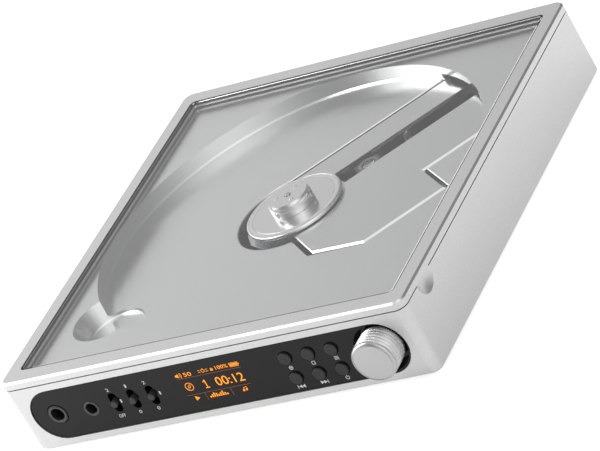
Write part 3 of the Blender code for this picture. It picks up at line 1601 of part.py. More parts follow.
def build_mechanism_cover():
    cover = prism("mechanism_cover", cover_outline(), FLOOR_Z - COVER_THICKNESS, FLOOR_Z, SLED_FRAME)
    chamfer_edges(cover, FLOOR_Z, COVER_CHAMFER, HUB_HOLE_RADIUS)
    limit = cylinder(
        "cover_limit",
        COVER_END_RADIUS,
        (0.0, 0.0, FLOOR_Z - COVER_THICKNESS - OVERRUN),
        (0.0, 0.0, FLOOR_Z + OVERRUN),
        SLED_FRAME,
        cutter=True,
        steps=WELL_STEPS,
    )
    boolean(cover, limit, "INTERSECT")
    wall_foot = turned(
        "cover_under_wall",
        [
            (COVER_END_RADIUS + OVERRUN, FLOOR_Z + OVERRUN),
            (COVER_END_RADIUS + OVERRUN, FLOOR_Z - COVER_THICKNESS - OVERRUN),
            (WELL_RADIUS - FIT_GAP, FLOOR_Z - COVER_THICKNESS - OVERRUN),
            (WELL_RADIUS - FIT_GAP, FLOOR_Z + OVERRUN),
        ],
        SLED_FRAME,
        cutter=True,
        steps=WELL_STEPS,
        ring=True,
    )
    arch_room = box(
        "cover_arch_room",
        (0.0, SLOT_RIGHT_V - ARCH_MARGIN, FLOOR_Z - COVER_THICKNESS - 2 * OVERRUN),
        (COVER_END_RADIUS + 2 * OVERRUN, COVER_EDGE_V + FIT_GAP, FLOOR_Z + 2 * OVERRUN),
        SLED_FRAME,
        cutter=True,
    )
    cut(wall_foot, arch_room)
    hub = cylinder(
        "cover_hub_hole",
        COVER_HUB_RADIUS,
        (0.0, 0.0, FLOOR_Z - COVER_THICKNESS - OVERRUN),
        (0.0, 0.0, FLOOR_Z + OVERRUN),
        SLED_FRAME,
        cutter=True,
        steps=FINE_STEPS,
    )
    slot = box(
        "cover_slot",
        (0.0, SLOT_RIGHT_V, FLOOR_Z - COVER_THICKNESS - OVERRUN),
        (SLOT_END_U, SLOT_LEFT_V, FLOOR_Z + OVERRUN),
        SLED_FRAME,
        cutter=True,
    )
    behind = box(
        "cover_behind_hub",
        (-HUB_HOLE_RADIUS, COVER_FRONT_U, FLOOR_Z - COVER_THICKNESS - OVERRUN),
        (0.0, COVER_EDGE_V + OVERRUN, FLOOR_Z + OVERRUN),
        SLED_FRAME,
        cutter=True,
    )
    cut(cover, wall_foot, hub, slot, behind)
    for number, (along, across) in enumerate(cover_post_places(), start=1):
        post = cylinder(
            f"cover_post_{number}",
            COVER_POST_RADIUS,
            (along, across, CHASSIS_Z + CHASSIS_THICKNESS + FIT_GAP),
            (along, across, FLOOR_Z - COVER_THICKNESS / 2),
            SLED_FRAME,
            cutter=True,
            steps=SMALL_STEPS,
        )
        join(cover, post)
    finish_part(cover, PLAYER, SATIN)


def chassis_outline():
    margin = 2 * COVER_POST_RADIUS
    left = RAIL_LEFT_V + RAIL_BLOCK_WIDTH + COVER_POST_RADIUS / 3 + COVER_POST_RADIUS
    return [
        (RAIL_END_U, left),
        (CHASSIS_HUB_U, left),
        (CHASSIS_HUB_U, CHASSIS_HUB_U),
        (COVER_FRONT_U, CHASSIS_HUB_U),
        (COVER_FRONT_U, COVER_CORNER_V),
        (COVER_DIAGONAL_U, COVER_RIGHT_V),
        (COVER_STEP_U, COVER_RIGHT_V),
        (COVER_STEP_U, COVER_STEP_V + margin),
        (RAIL_END_U, COVER_STEP_V + margin),
    ]


def damper_places():
    """Middles of the rubber dampers, in the sled frame."""
    edge = DAMPER_RADIUS + FIT_GAP
    return [
        (CHASSIS_HUB_U + edge, RAIL_LEFT_V + edge),
        (COVER_DIAGONAL_U + edge, COVER_RIGHT_V + edge),
        (RAIL_END_U - edge, RAIL_LEFT_V),
    ]


def rail_block(name, start, v, half_width, top):
    return box(
        name,
        (start, v - half_width, CHASSIS_Z + CHASSIS_THICKNESS / 2),
        (start + RAIL_BLOCK_LENGTH, v + half_width, top),
        SLED_FRAME,
        cutter=True,
    )


def build_chassis():
    chassis = prism(
        "mechanism_chassis",
        chassis_outline(),
        CHASSIS_Z,
        CHASSIS_Z + CHASSIS_THICKNESS,
        SLED_FRAME,
    )
    half = RAIL_BLOCK_WIDTH / 2
    far_start = RAIL_END_U - RAIL_BLOCK_LENGTH
    rail_roof = RAIL_Z + RAIL_RADIUS + RAIL_BLOCK_ROOF
    screw_roof = SCREW_Z + SCREW_JOURNAL_RADIUS + RAIL_BLOCK_ROOF
    for word, across in (("left", RAIL_LEFT_V), ("right", RAIL_RIGHT_V)):
        near = rail_block(f"{word}_rail_near_block", RAIL_START_U, across, half, rail_roof)
        far = rail_block(f"{word}_rail_far_block", far_start, across, half, rail_roof)
        bore = cylinder(
            f"{word}_rail_bore",
            RAIL_RADIUS + RAIL_CLEARANCE,
            (RAIL_START_U + RAIL_INSET, across, RAIL_Z),
            (RAIL_END_U - RAIL_INSET, across, RAIL_Z),
            SLED_FRAME,
            cutter=True,
            steps=BUTTON_STEPS,
        )
        join(chassis, near, far)
        cut(chassis, bore)
    screw_block = rail_block("screw_end_block", far_start, SCREW_V, SCREW_RADIUS, screw_roof)
    screw_bore = cylinder(
        "screw_end_bore",
        SCREW_JOURNAL_RADIUS + RAIL_CLEARANCE,
        (far_start - OVERRUN, SCREW_V, SCREW_Z),
        (RAIL_END_U - RAIL_INSET, SCREW_V, SCREW_Z),
        SLED_FRAME,
        cutter=True,
        steps=SMALL_STEPS,
    )
    cradle = box(
        "sled_motor_cradle",
        (FIT_GAP, SCREW_V - SLED_MOTOR_RADIUS / 2, CHASSIS_Z + CHASSIS_THICKNESS / 2),
        (SLED_MOTOR_LENGTH - FIT_GAP, SCREW_V + SLED_MOTOR_RADIUS / 2, SCREW_Z),
        SLED_FRAME,
        cutter=True,
    )
    cradle_round = cylinder(
        "sled_motor_seat",
        SLED_MOTOR_RADIUS + FIT_GAP,
        (-OVERRUN, SCREW_V, SCREW_Z),
        (SLED_MOTOR_LENGTH + OVERRUN, SCREW_V, SCREW_Z),
        SLED_FRAME,
        cutter=True,
        steps=ROUND_STEPS,
    )
    cut(cradle, cradle_round)
    join(chassis, screw_block, cradle)
    cut(chassis, screw_bore)
    finish_part(chassis, PLAYER, STEEL)
    for word, across in (("left", RAIL_LEFT_V), ("right", RAIL_RIGHT_V)):
        rail = cylinder(
            f"guide_rail_{word}",
            RAIL_RADIUS,
            (RAIL_START_U + RAIL_INSET + RAIL_CLEARANCE, across, RAIL_Z),
            (RAIL_END_U - RAIL_INSET - RAIL_CLEARANCE, across, RAIL_Z),
            SLED_FRAME,
            steps=BUTTON_STEPS,
        )
        finish_part(rail, PLAYER, POLISHED)
    for number, (along, across) in enumerate(damper_places(), start=1):
        low = COVER_PLATE_THICKNESS + FIT_GAP
        high = CHASSIS_Z - FIT_GAP
        middle = (low + high) / 2
        damper = turned(
            f"damper_{number}",
            [
                (0.0, high),
                (DAMPER_RADIUS, high),
                (DAMPER_RADIUS, middle + FIT_GAP),
                (DAMPER_WAIST_RADIUS, middle),
                (DAMPER_RADIUS, middle - FIT_GAP),
                (DAMPER_RADIUS, low),
                (0.0, low),
            ],
            SLED_FRAME @ Matrix.Translation((along, across, 0.0)),
            steps=SMALL_STEPS,
        )
        finish_part(damper, PLAYER, RUBBER)


def build_sled():
    rear = LENS_REST_U - SLED_LENGTH / 2
    front = LENS_REST_U + SLED_LENGTH / 2
    sled = box(
        "pickup_sled",
        (rear, SLED_RIGHT_V, SLED_BOTTOM_Z),
        (front, SLED_LEFT_V, SLED_TOP_Z),
        SLED_FRAME,
    )
    rail_bore = cylinder(
        "sled_rail_bore",
        RAIL_RADIUS + RAIL_CLEARANCE,
        (rear - OVERRUN, RAIL_LEFT_V, RAIL_Z),
        (front + OVERRUN, RAIL_LEFT_V, RAIL_Z),
        SLED_FRAME,
        cutter=True,
        steps=BUTTON_STEPS,
    )
    fork_half = RAIL_RADIUS + RAIL_CLEARANCE
    fork = box(
        "sled_fork",
        (rear - OVERRUN, RAIL_RIGHT_V - fork_half, RAIL_Z - fork_half),
        (front + OVERRUN, RAIL_RIGHT_V + fork_half, SLED_TOP_Z + OVERRUN),
        SLED_FRAME,
        cutter=True,
    )
    shoulder_v = RAIL_RIGHT_V - RAIL_RADIUS - SLED_NOSE_WIDTH
    shoulder = box(
        "sled_shoulder",
        (rear - OVERRUN, SLED_RIGHT_V - OVERRUN, SLED_BOTTOM_Z - OVERRUN),
        (LENS_REST_U - SLED_NOSE_WIDTH, shoulder_v, SLED_TOP_Z + OVERRUN),
        SLED_FRAME,
        cutter=True,
    )
    shoulder_far = box(
        "sled_shoulder_far",
        (LENS_REST_U + SLED_NOSE_WIDTH, SLED_RIGHT_V - OVERRUN, SLED_BOTTOM_Z - OVERRUN),
        (front + OVERRUN, shoulder_v, SLED_TOP_Z + OVERRUN),
        SLED_FRAME,
        cutter=True,
    )
    tooth_tip = SCREW_V + SCREW_RADIUS - TOOTH_ENGAGEMENT
    tooth = box(
        "sled_tooth",
        (LENS_REST_U - TOOTH_THICKNESS / 2, tooth_tip, SCREW_Z - TOOTH_HEIGHT / 2),
        (LENS_REST_U + TOOTH_THICKNESS / 2, SLED_RIGHT_V + TOOTH_HEIGHT, SCREW_Z + TOOTH_HEIGHT / 2),
        SLED_FRAME,
        cutter=True,
    )
    cut(sled, rail_bore, fork, shoulder, shoulder_far)
    join(sled, tooth)
    finish_part(sled, SLED_AXIS, STEEL)
    holder = prism(
        "lens_holder",
        rounded_rectangle(HOLDER_LENGTH, HOLDER_WIDTH, HOLDER_CORNER, (LENS_REST_U, 0.0), steps=3),
        HOLDER_BOTTOM_Z,
        HOLDER_TOP_Z,
        SLED_FRAME,
    )
    seat = cylinder(
        "lens_seat",
        LENS_RADIUS + FIT_GAP / 2,
        (LENS_REST_U, 0.0, HOLDER_BOTTOM_Z + LENS_DOME),
        (LENS_REST_U, 0.0, HOLDER_TOP_Z + OVERRUN),
        SLED_FRAME,
        cutter=True,
        steps=ROUND_STEPS,
    )
    light_way = cylinder(
        "lens_light_way",
        LENS_RADIUS - LENS_DOME,
        (LENS_REST_U, 0.0, HOLDER_BOTTOM_Z - OVERRUN),
        (LENS_REST_U, 0.0, HOLDER_TOP_Z + OVERRUN),
        SLED_FRAME,
        cutter=True,
        steps=BUTTON_STEPS,
    )
    cut(holder, seat, light_way)
    finish_part(holder, LENS_AXIS, BLACK_MATTE)
    lens_low = HOLDER_BOTTOM_Z + LENS_DOME + FIT_GAP / 2
    lens_high = lens_low + LENS_HEIGHT
    dome = []
    for step in range(LENS_DOME_STEPS + 1):
        angle = math.pi / 2 * step / LENS_DOME_STEPS
        sag = LENS_DOME * (1.0 - math.cos(angle))
        dome.append((LENS_RADIUS * math.sin(angle), lens_high - sag))
    lens = turned(
        "objective_lens",
        dome + [(LENS_RADIUS, lens_low), (0.0, lens_low)],
        SLED_FRAME @ Matrix.Translation((LENS_REST_U, 0.0, 0.0)),
        steps=BUTTON_STEPS,
    )
    finish_part(lens, LENS_AXIS, GLASS)


def thread_radius(along, turn):
    """Radius of the lead screw's surface: a trapezoid groove that winds once every pitch."""
    phase = ((along - LENS_REST_U) / SCREW_PITCH - turn / (2 * math.pi)) % 1.0
    distance = min(phase, 1.0 - phase)
    groove_share = 0.30
    flank_share = 0.12
    if distance < groove_share:
        return SCREW_RADIUS - SCREW_GROOVE
    if distance < groove_share + flank_share:
        rise = (distance - groove_share) / flank_share
        return SCREW_RADIUS - SCREW_GROOVE * (1.0 - rise)
    return SCREW_RADIUS


def build_lead_screw():
    """The screw: a threaded middle between two plain journals, drawn ring by ring along its axis."""
    around = 10
    rows_per_pitch = 6
    thread_length = SCREW_THREAD_END_U - SCREW_THREAD_START_U
    rows = round(thread_length / SCREW_PITCH * rows_per_pitch)
    shape = bmesh.new()
    rings = []
    for row in range(rows + 1):
        along = SCREW_THREAD_START_U + thread_length * row / rows
        ring = []
        for step in range(around):
            turn = 2 * math.pi * step / around
            radius = thread_radius(along, turn)
            ring.append(shape.verts.new((along, radius * math.cos(turn), radius * math.sin(turn))))
        rings.append(ring)
    for first, second in zip(rings, rings[1:]):
        for step in range(around):
            after = (step + 1) % around
            shape.faces.new((first[step], first[after], second[after], second[step]))
    shape.faces.new(list(reversed(rings[0])))
    shape.faces.new(rings[-1])
    bmesh.ops.recalc_face_normals(shape, faces=shape.faces)
    frame = SLED_FRAME @ Matrix.Translation((0.0, SCREW_V, SCREW_Z))
    screw = add_mesh("lead_screw", mesh_from("lead_screw", shape), frame)
    journal = cylinder(
        "lead_screw_journal",
        SCREW_JOURNAL_RADIUS,
        (SLED_MOTOR_LENGTH - RAIL_BLOCK_LENGTH, 0.0, 0.0),
        (RAIL_END_U - RAIL_INSET - RAIL_CLEARANCE, 0.0, 0.0),
        frame,
        cutter=True,
        steps=SMALL_STEPS,
    )
    join(screw, journal)
    finish_part(screw, SCREW_AXIS, POLISHED)
    motor = cylinder(
        "sled_motor",
        SLED_MOTOR_RADIUS,
        (0.0, 0.0, 0.0),
        (SLED_MOTOR_LENGTH, 0.0, 0.0),
        frame,
        steps=ROUND_STEPS,
    )
    motor_bore = cylinder(
        "sled_motor_bore",
        SCREW_JOURNAL_RADIUS + RAIL_CLEARANCE,
        (SLED_MOTOR_LENGTH - RAIL_BLOCK_LENGTH - RAIL_CLEARANCE, 0.0, 0.0),
        (SLED_MOTOR_LENGTH + OVERRUN, 0.0, 0.0),
        frame,
        cutter=True,
        steps=SMALL_STEPS,
    )
    cut(motor, motor_bore)
    finish_part(motor, PLAYER, STEEL)


def build_boards():
    front = -HOUSING_DEPTH / 2 + BOARD_FRONT_SETBACK
    strip_back = front + BOARD_STRIP_DEPTH
    back = HOUSING_DEPTH / 2 - BOARD_BACK_SETBACK
    arm = -BOARD_HALF_WIDTH + BOARD_ARM_WIDTH
    outline = [
        (-BOARD_HALF_WIDTH, front),
        (BOARD_HALF_WIDTH, front),
        (BOARD_HALF_WIDTH, strip_back),
        (arm, strip_back),
        (arm, back - BOARD_FRONT_SETBACK),
        (BOARD_HALF_WIDTH / 4, back - BOARD_FRONT_SETBACK),
        (BOARD_HALF_WIDTH / 4, back),
        (-BOARD_HALF_WIDTH, back),
    ]
    board = prism("main_board", outline, BOARD_Z, BOARD_TOP_Z, BODY_FRAME)
    for number in range(3):
        middle = BOARD_CHIP_SIZE * (2 * number - 2)
        chip = box(
            f"board_chip_{number + 1}",
            (middle - BOARD_CHIP_SIZE / 2, strip_back - 2 * BOARD_CHIP_SIZE, BOARD_Z + BOARD_THICKNESS / 2),
            (middle + BOARD_CHIP_SIZE / 2, strip_back - BOARD_CHIP_SIZE, BOARD_TOP_Z + BOARD_CHIP_HEIGHT),
            BODY_FRAME,
            cutter=True,
        )
        join(board, chip)
    finish_part(board, PLAYER, BOARD)
    left = -BOARD_HALF_WIDTH
    battery_front = strip_back + FIT_GAP - BOARD_FRONT_SETBACK
    battery = prism(
        "battery_pack",
        rounded_rectangle(
            BATTERY_WIDTH,
            BATTERY_LENGTH,
            BATTERY_CORNER,
            (left + BATTERY_WIDTH / 2, battery_front + BATTERY_LENGTH / 2),
            steps=4,
        ),
        BOARD_TOP_Z + FIT_GAP,
        BOARD_TOP_Z + FIT_GAP + BATTERY_HEIGHT,
        BODY_FRAME,
    )
    finish_part(battery, PLAYER, CELL)


build_housing()
build_deck()
build_magnets()
build_lid()
build_hinge()
build_underside()
build_panel()
build_jacks()
build_switches()
build_buttons()
build_knob()
build_turntable()
build_spindle_motor()
build_mechanism_cover()
build_chassis()
build_sled()
build_lead_screw()
build_boards()
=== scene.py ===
"""The looks of a portable disc player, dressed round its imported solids. Lengths are in metres.

World frame: +X to the player's right, +Y to its back, +Z up. The origin lies on the floor, under the middle.
"""
import json
import math

import bmesh
import bpy
from mathutils import Matrix, Vector

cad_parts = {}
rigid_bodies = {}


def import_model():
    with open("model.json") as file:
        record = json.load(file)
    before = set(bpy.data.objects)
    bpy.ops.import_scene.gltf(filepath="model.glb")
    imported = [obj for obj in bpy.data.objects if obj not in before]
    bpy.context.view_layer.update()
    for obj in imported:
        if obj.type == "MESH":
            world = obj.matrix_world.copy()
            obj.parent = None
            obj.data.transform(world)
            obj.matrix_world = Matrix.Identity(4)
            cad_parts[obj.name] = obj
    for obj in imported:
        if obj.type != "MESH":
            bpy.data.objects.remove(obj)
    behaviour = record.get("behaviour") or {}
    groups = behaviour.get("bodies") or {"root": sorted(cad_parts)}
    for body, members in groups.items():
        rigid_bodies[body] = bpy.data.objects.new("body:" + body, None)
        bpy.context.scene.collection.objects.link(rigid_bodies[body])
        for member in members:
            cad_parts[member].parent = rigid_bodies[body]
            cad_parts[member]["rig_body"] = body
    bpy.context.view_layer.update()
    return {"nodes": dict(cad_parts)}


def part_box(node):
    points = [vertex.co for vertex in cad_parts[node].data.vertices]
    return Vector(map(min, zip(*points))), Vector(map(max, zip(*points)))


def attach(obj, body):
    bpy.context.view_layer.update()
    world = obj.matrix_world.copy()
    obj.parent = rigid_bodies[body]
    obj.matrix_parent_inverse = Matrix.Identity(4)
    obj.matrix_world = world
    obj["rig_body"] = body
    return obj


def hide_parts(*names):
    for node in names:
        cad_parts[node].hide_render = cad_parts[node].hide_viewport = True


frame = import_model()

# Places read from the frame
HOUSING_LOW, HOUSING_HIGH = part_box("housing")
FRONT_Y = HOUSING_LOW.y
BASE_Z = HOUSING_LOW.z
DISC_Y = (HOUSING_LOW.y + HOUSING_HIGH.y) / 2
BODY_FRAME = Matrix.Translation((0.0, DISC_Y, BASE_Z))
FRONT_FRAME = Matrix.Translation((0.0, FRONT_Y, BASE_Z)) @ Matrix.Rotation(math.pi / 2, 4, "X")
FLANGE_TOP_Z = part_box("turntable_flange")[1].z - BASE_Z
FLANGE_LOW_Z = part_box("turntable_flange")[0].z - BASE_Z
FLANGE_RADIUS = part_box("turntable_flange")[1].x
PANEL_FACE = FRONT_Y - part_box("front_panel")[0].y

# Meshes
WELD_DISTANCE = 0.000002
FLAT_ANGLE = math.radians(0.3)
ROUND_ANGLE = 32.0
TURNED_ANGLE = 40.0
FILLET_ANGLE = 50.0
ROUND_STEPS = 96
FILLET_STEPS = 5
WIDE_FILLET_STEPS = 6
FLANGE_RIM_STEPS = 8
ON_AXIS = 0.000001

# Mechanism cover
COVER_BEVEL = 0.0008
COVER_BEVEL_STEPS = 3
COVER_SLOT_SIDE = 0.008
COVER_HUB_REACH = 0.021

# Finishes: the middle range of a noise, and how far a grain and its clouds vary
NOISE_LOW = 0.3
NOISE_HIGH = 0.7
CLOUD_SIZE = 0.03
CLOUD_DETAIL = 3.0
CLOUD_SPREAD = 0.02
GRAIN_LIGHTER = 1.03
GRAIN_DARKER = 0.97
RING_SPREAD = 0.15
PLAIN_SPREAD = 0.1
PLAIN_CLOUDS = 8
GLASS_IOR = 1.5
SIGN_GRAIN = 0.0008
SIGN_SHADE = 0.8
WHITE = (1.0, 1.0, 1.0, 1.0)


class Tree:
    """A node tree, built a node at a time."""

    def __init__(self, tree):
        self.tree = tree

    def node(self, kind, **values):
        made = self.tree.nodes.new(kind)
        for name, value in values.items():
            setattr(made, name, value)
        return made

    def link(self, start, end):
        self.tree.links.new(start, end)

    def feed(self, source, socket):
        """A socket takes a number, or a link from another socket."""
        if isinstance(source, (int, float)):
            socket.default_value = source
        else:
            self.link(source, socket)

    def math(self, operation, first, second=0.0):
        made = self.node("ShaderNodeMath", operation=operation)
        self.feed(first, made.inputs[0])
        self.feed(second, made.inputs[1])
        return made.outputs["Value"]

    def ramp(self, source, start, end, low, high):
        """A value that goes from low to high as the source goes from start to end."""
        ranged = self.node("ShaderNodeMapRange")
        for name, value in (("From Min", start), ("From Max", end), ("To Min", low), ("To Max", high)):
            ranged.inputs[name].default_value = value
        self.link(source, ranged.inputs["Value"])
        return ranged.outputs["Result"]

    def along(self, direction, source):
        """How far a vector reaches along a direction."""
        dot = self.node("ShaderNodeVectorMath", operation="DOT_PRODUCT")
        dot.inputs[1].default_value = Vector(direction).normalized()
        self.link(source, dot.inputs[0])
        return dot.outputs["Value"]


class Shader(Tree):
    """One material, with its Principled surface."""

    def __init__(self, name, colour, roughness, metallic=0.0, **more):
        self.material = bpy.data.materials.new(name)
        self.material.use_nodes = True
        super().__init__(self.material.node_tree)
        self.surface = self.tree.nodes["Principled BSDF"]
        self.surface.inputs["Base Color"].default_value = (*colour, 1.0)
        self.surface.inputs["Roughness"].default_value = roughness
        self.surface.inputs["Metallic"].default_value = metallic
        for socket, value in more.items():
            label = socket.replace("_", " ").title().replace("Ior", "IOR")
            self.surface.inputs[label].default_value = value
        self.material.diffuse_color = (*colour, 1.0)

    def place(self):
        """Object coordinates."""
        return self.node("ShaderNodeTexCoord").outputs["Object"]

    def noise(self, grain, detail=2.0):
        """Noise whose grains measure about the given length."""
        texture = self.node("ShaderNodeTexNoise")
        texture.inputs["Scale"].default_value = 1.0 / grain
        texture.inputs["Detail"].default_value = detail
        self.link(self.place(), texture.inputs["Vector"])
        return texture.outputs["Fac"]

    def spread(self, source, low, high):
        """The source's middle range, spread between two values."""
        return self.ramp(source, NOISE_LOW, NOISE_HIGH, low, high)

    def vary_roughness(self, source, low, high):
        self.link(self.spread(source, low, high), self.surface.inputs["Roughness"])

    def vary_colour(self, source, first, second):
        mix = self.node("ShaderNodeMix", data_type="RGBA")
        mix.inputs["A"].default_value = (*first, 1.0)
        mix.inputs["B"].default_value = (*second, 1.0)
        self.link(self.spread(source, 0.0, 1.0), mix.inputs["Factor"])
        self.link(mix.outputs["Result"], self.surface.inputs["Base Color"])

    def bump(self, source, height, strength=1.0):
        bump = self.node("ShaderNodeBump")
        bump.inputs["Distance"].default_value = height
        bump.inputs["Strength"].default_value = strength
        self.link(source, bump.inputs["Height"])
        self.link(bump.outputs["Normal"], self.surface.inputs["Normal"])


def blasted_metal(name, colour, roughness, grain, height):
    """Bead-blasted and anodised: a fine even grain with faint broad clouds."""
    shader = Shader(name, colour, roughness, 1.0)
    clouds = shader.noise(CLOUD_SIZE, CLOUD_DETAIL)
    shader.vary_roughness(clouds, roughness - CLOUD_SPREAD, roughness + CLOUD_SPREAD)
    lighter = tuple(min(1.0, channel * GRAIN_LIGHTER) for channel in colour)
    darker = tuple(channel * GRAIN_DARKER for channel in colour)
    shader.vary_colour(shader.noise(grain * 2), darker, lighter)
    shader.bump(shader.noise(grain), height)
    return shader.material


def turned_metal(name, colour, roughness, ring):
    """Lathe-turned: fine rings about the disc's axis."""
    shader = Shader(name, colour, roughness, 1.0)
    coordinates = shader.node("ShaderNodeTexCoord")
    middle = shader.node("ShaderNodeMapping")
    middle.inputs["Location"].default_value = (0.0, -DISC_Y, 0.0)
    middle.inputs["Scale"].default_value = (1.0, 1.0, 0.0)
    shader.link(coordinates.outputs["Object"], middle.inputs["Vector"])
    length = shader.node("ShaderNodeVectorMath", operation="LENGTH")
    shader.link(middle.outputs["Vector"], length.inputs[0])
    rings = shader.node("ShaderNodeTexNoise", noise_dimensions="1D")
    rings.inputs["Scale"].default_value = 1.0 / ring
    rings.inputs["Detail"].default_value = 2.0
    levels = shader.node("ShaderNodeSeparateXYZ")
    shader.link(coordinates.outputs["Object"], levels.inputs["Vector"])
    rings_at = shader.math("ADD", length.outputs["Value"], levels.outputs["Z"])
    shader.link(rings_at, rings.inputs["W"])
    shader.vary_roughness(rings.outputs["Fac"], roughness * (1 - RING_SPREAD), roughness * (1 + RING_SPREAD))
    shader.bump(rings.outputs["Fac"], ring * 0.01, 0.2)
    return shader.material


def plain(name, colour, roughness, metallic=0.0, grain=0.0004, height=0.00001, **more):
    """A moulded or rolled surface with a fine texture of its own."""
    shader = Shader(name, colour, roughness, metallic, **more)
    clouds = shader.noise(grain * PLAIN_CLOUDS, CLOUD_DETAIL)
    shader.vary_roughness(clouds, roughness * (1 - PLAIN_SPREAD), min(1.0, roughness * (1 + PLAIN_SPREAD)))
    shader.bump(shader.noise(grain), height, 0.6)
    return shader.material


def lit_sign(name, colour, strength):
    """A segment of a display, which glows by itself and a little unevenly."""
    shader = Shader(name, colour, 0.5)
    shader.surface.inputs["Emission Color"].default_value = (*colour, 1.0)
    shader.surface.inputs["Emission Strength"].default_value = strength
    shaded = tuple(channel * SIGN_SHADE for channel in colour)
    shader.vary_colour(shader.noise(SIGN_GRAIN), shaded, colour)
    return shader.material


def window_glass(name, tint):
    """Clear glass that bends what is seen through it and lets lamplight and mirrored light pass."""
    shader = Shader(name, tint, 0.0, 0.0, transmission_weight=1.0)
    shader.surface.inputs["IOR"].default_value = GLASS_IOR
    path = shader.node("ShaderNodeLightPath")
    passes = shader.math("MAXIMUM", path.outputs["Is Shadow Ray"], path.outputs["Is Reflection Ray"])
    clear = shader.node("ShaderNodeBsdfTransparent")
    mix = shader.node("ShaderNodeMixShader")
    shader.link(passes, mix.inputs["Fac"])
    shader.link(shader.surface.outputs["BSDF"], mix.inputs[1])
    shader.link(clear.outputs["BSDF"], mix.inputs[2])
    shader.link(mix.outputs["Shader"], shader.tree.nodes["Material Output"].inputs["Surface"])
    return shader.material


BLASTED = blasted_metal("blasted_aluminium", (0.80, 0.81, 0.80), 0.42, grain=0.00035, height=0.000012)
WELL = blasted_metal("satin_aluminium", (0.80, 0.81, 0.805), 0.24, grain=0.00016, height=0.000002)
FLUSH = blasted_metal("satin_cover", (0.76, 0.77, 0.765), 0.20, grain=0.00016, height=0.000001)
KNOB = blasted_metal("knob_aluminium", (0.62, 0.625, 0.62), 0.30, grain=0.00014, height=0.000003)
TURNED = turned_metal("turned_aluminium", (0.86, 0.86, 0.855), 0.19, ring=0.00030)
POLISHED = plain("polished_metal", (0.84, 0.84, 0.84), 0.12, metallic=1.0, grain=0.0003, height=0.000001)
STEEL = plain("steel", (0.60, 0.61, 0.63), 0.26, metallic=1.0, grain=0.0004, height=0.000002)
GLASS = window_glass("clear_glass", (0.985, 0.995, 0.992))
LENS_GLASS = window_glass("lens_glass", (0.80, 0.86, 0.98))
PANEL_BLACK = plain(
    "gloss_black", (0.010, 0.010, 0.011), 0.10, grain=0.002, height=0.0000005, specular_ior_level=0.3
)
BLACK = plain("matte_black", (0.022, 0.022, 0.024), 0.42)
KEY_BLACK = plain("key_black", (0.020, 0.020, 0.021), 0.34, grain=0.0002, height=0.000002)
SLIDER_GREY = plain("slider_grey", (0.045, 0.045, 0.047), 0.32, metallic=0.2, grain=0.0002, height=0.000002)
RIM_GREY = plain("rim_grey", (0.10, 0.10, 0.10), 0.28, metallic=0.7, grain=0.0002, height=0.000001)
PAD_GREY = plain("pad_grey", (0.66, 0.66, 0.65), 0.50, grain=0.0003, height=0.000004)
CARRIAGE = plain("carriage_grey", (0.16, 0.16, 0.165), 0.38, metallic=0.2, grain=0.0005, height=0.000006)
RUBBER = plain("black_rubber", (0.018, 0.018, 0.018), 0.72)
BOARD = plain("board_green", (0.02, 0.12, 0.06), 0.45)
WRAP = plain("battery_wrap", (0.08, 0.12, 0.18), 0.4)
AMBER = lit_sign("amber_sign", (1.0, 0.305, 0.004), strength=0.9)
AMBER_DIM = lit_sign("dim_amber_sign", (0.30, 0.08, 0.006), strength=0.5)
PRINT_WHITE = plain("white_print", (0.86, 0.86, 0.85), 0.5, grain=0.0002, height=0.000001)

NODE_LOOKS = {
    "housing": (BLASTED, "blasted_aluminium"),
    "lid_frame": (BLASTED, "blasted_aluminium"),
    "bottom_cover": (BLASTED, "blasted_aluminium"),
    "disc_well_deck": (WELL, "satin_aluminium"),
    "mechanism_cover": (FLUSH, "satin_aluminium"),
    "centring_boss": (TURNED, "polished_metal"),
    "lead_screw": (POLISHED, "polished_metal"),
    "guide_rail_left": (POLISHED, "polished_metal"),
    "guide_rail_right": (POLISHED, "polished_metal"),
    "window_pane": (GLASS, "clear_glass"),
    "objective_lens": (LENS_GLASS, "clear_glass"),
    "front_panel": (PANEL_BLACK, "gloss_black"),
    "display_module": (PANEL_BLACK, "gloss_black"),
    "window_gasket": (RUBBER, "black_rubber"),
    "damper_1": (RUBBER, "black_rubber"),
    "damper_2": (RUBBER, "black_rubber"),
    "damper_3": (RUBBER, "black_rubber"),
    "foot_front_left": (RUBBER, "black_rubber"),
    "foot_front_right": (RUBBER, "black_rubber"),
    "foot_back_left": (RUBBER, "black_rubber"),
    "foot_back_right": (RUBBER, "black_rubber"),
    "key_board": (BOARD, "board_green"),
    "main_board": (BOARD, "board_green"),
    "battery_pack": (WRAP, "battery_wrap"),
}
STEEL_NODES = (
    "spindle_motor",
    "mechanism_chassis",
    "sled_motor",
    "hinge_bracket_left",
    "hinge_bracket_right",
    "hinge_pin_left",
    "hinge_pin_right",
    "body_magnet",
    "lid_magnet",
    "spindle_shaft",
    "chuck_ball_1",
    "chuck_ball_2",
    "chuck_ball_3",
    "pickup_sled",
    "usb_power_port",
    "usb_data_port",
    "knob_encoder",
)
KEY_NODES = sorted(node for node in frame["nodes"] if node.startswith("button_"))
JACK_BORES = {"headphone_jack": 0.00195, "balanced_headphone_jack": 0.0023}
SLIDER_NODES = sorted(node for node in frame["nodes"] if node.startswith("switch_slider"))
REMADE_NODES = (*KEY_NODES, "volume_knob", "turntable_flange", "disc_pad")


def look_of(node):
    """The material and slot of a node: what the table says, steel, or matte black."""
    if node in NODE_LOOKS:
        return NODE_LOOKS[node]
    if node in STEEL_NODES:
        return STEEL, "steel"
    return BLACK, "matte_black"


def body_of(node):
    """The body that a node rides on."""
    return frame["nodes"][node]["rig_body"]


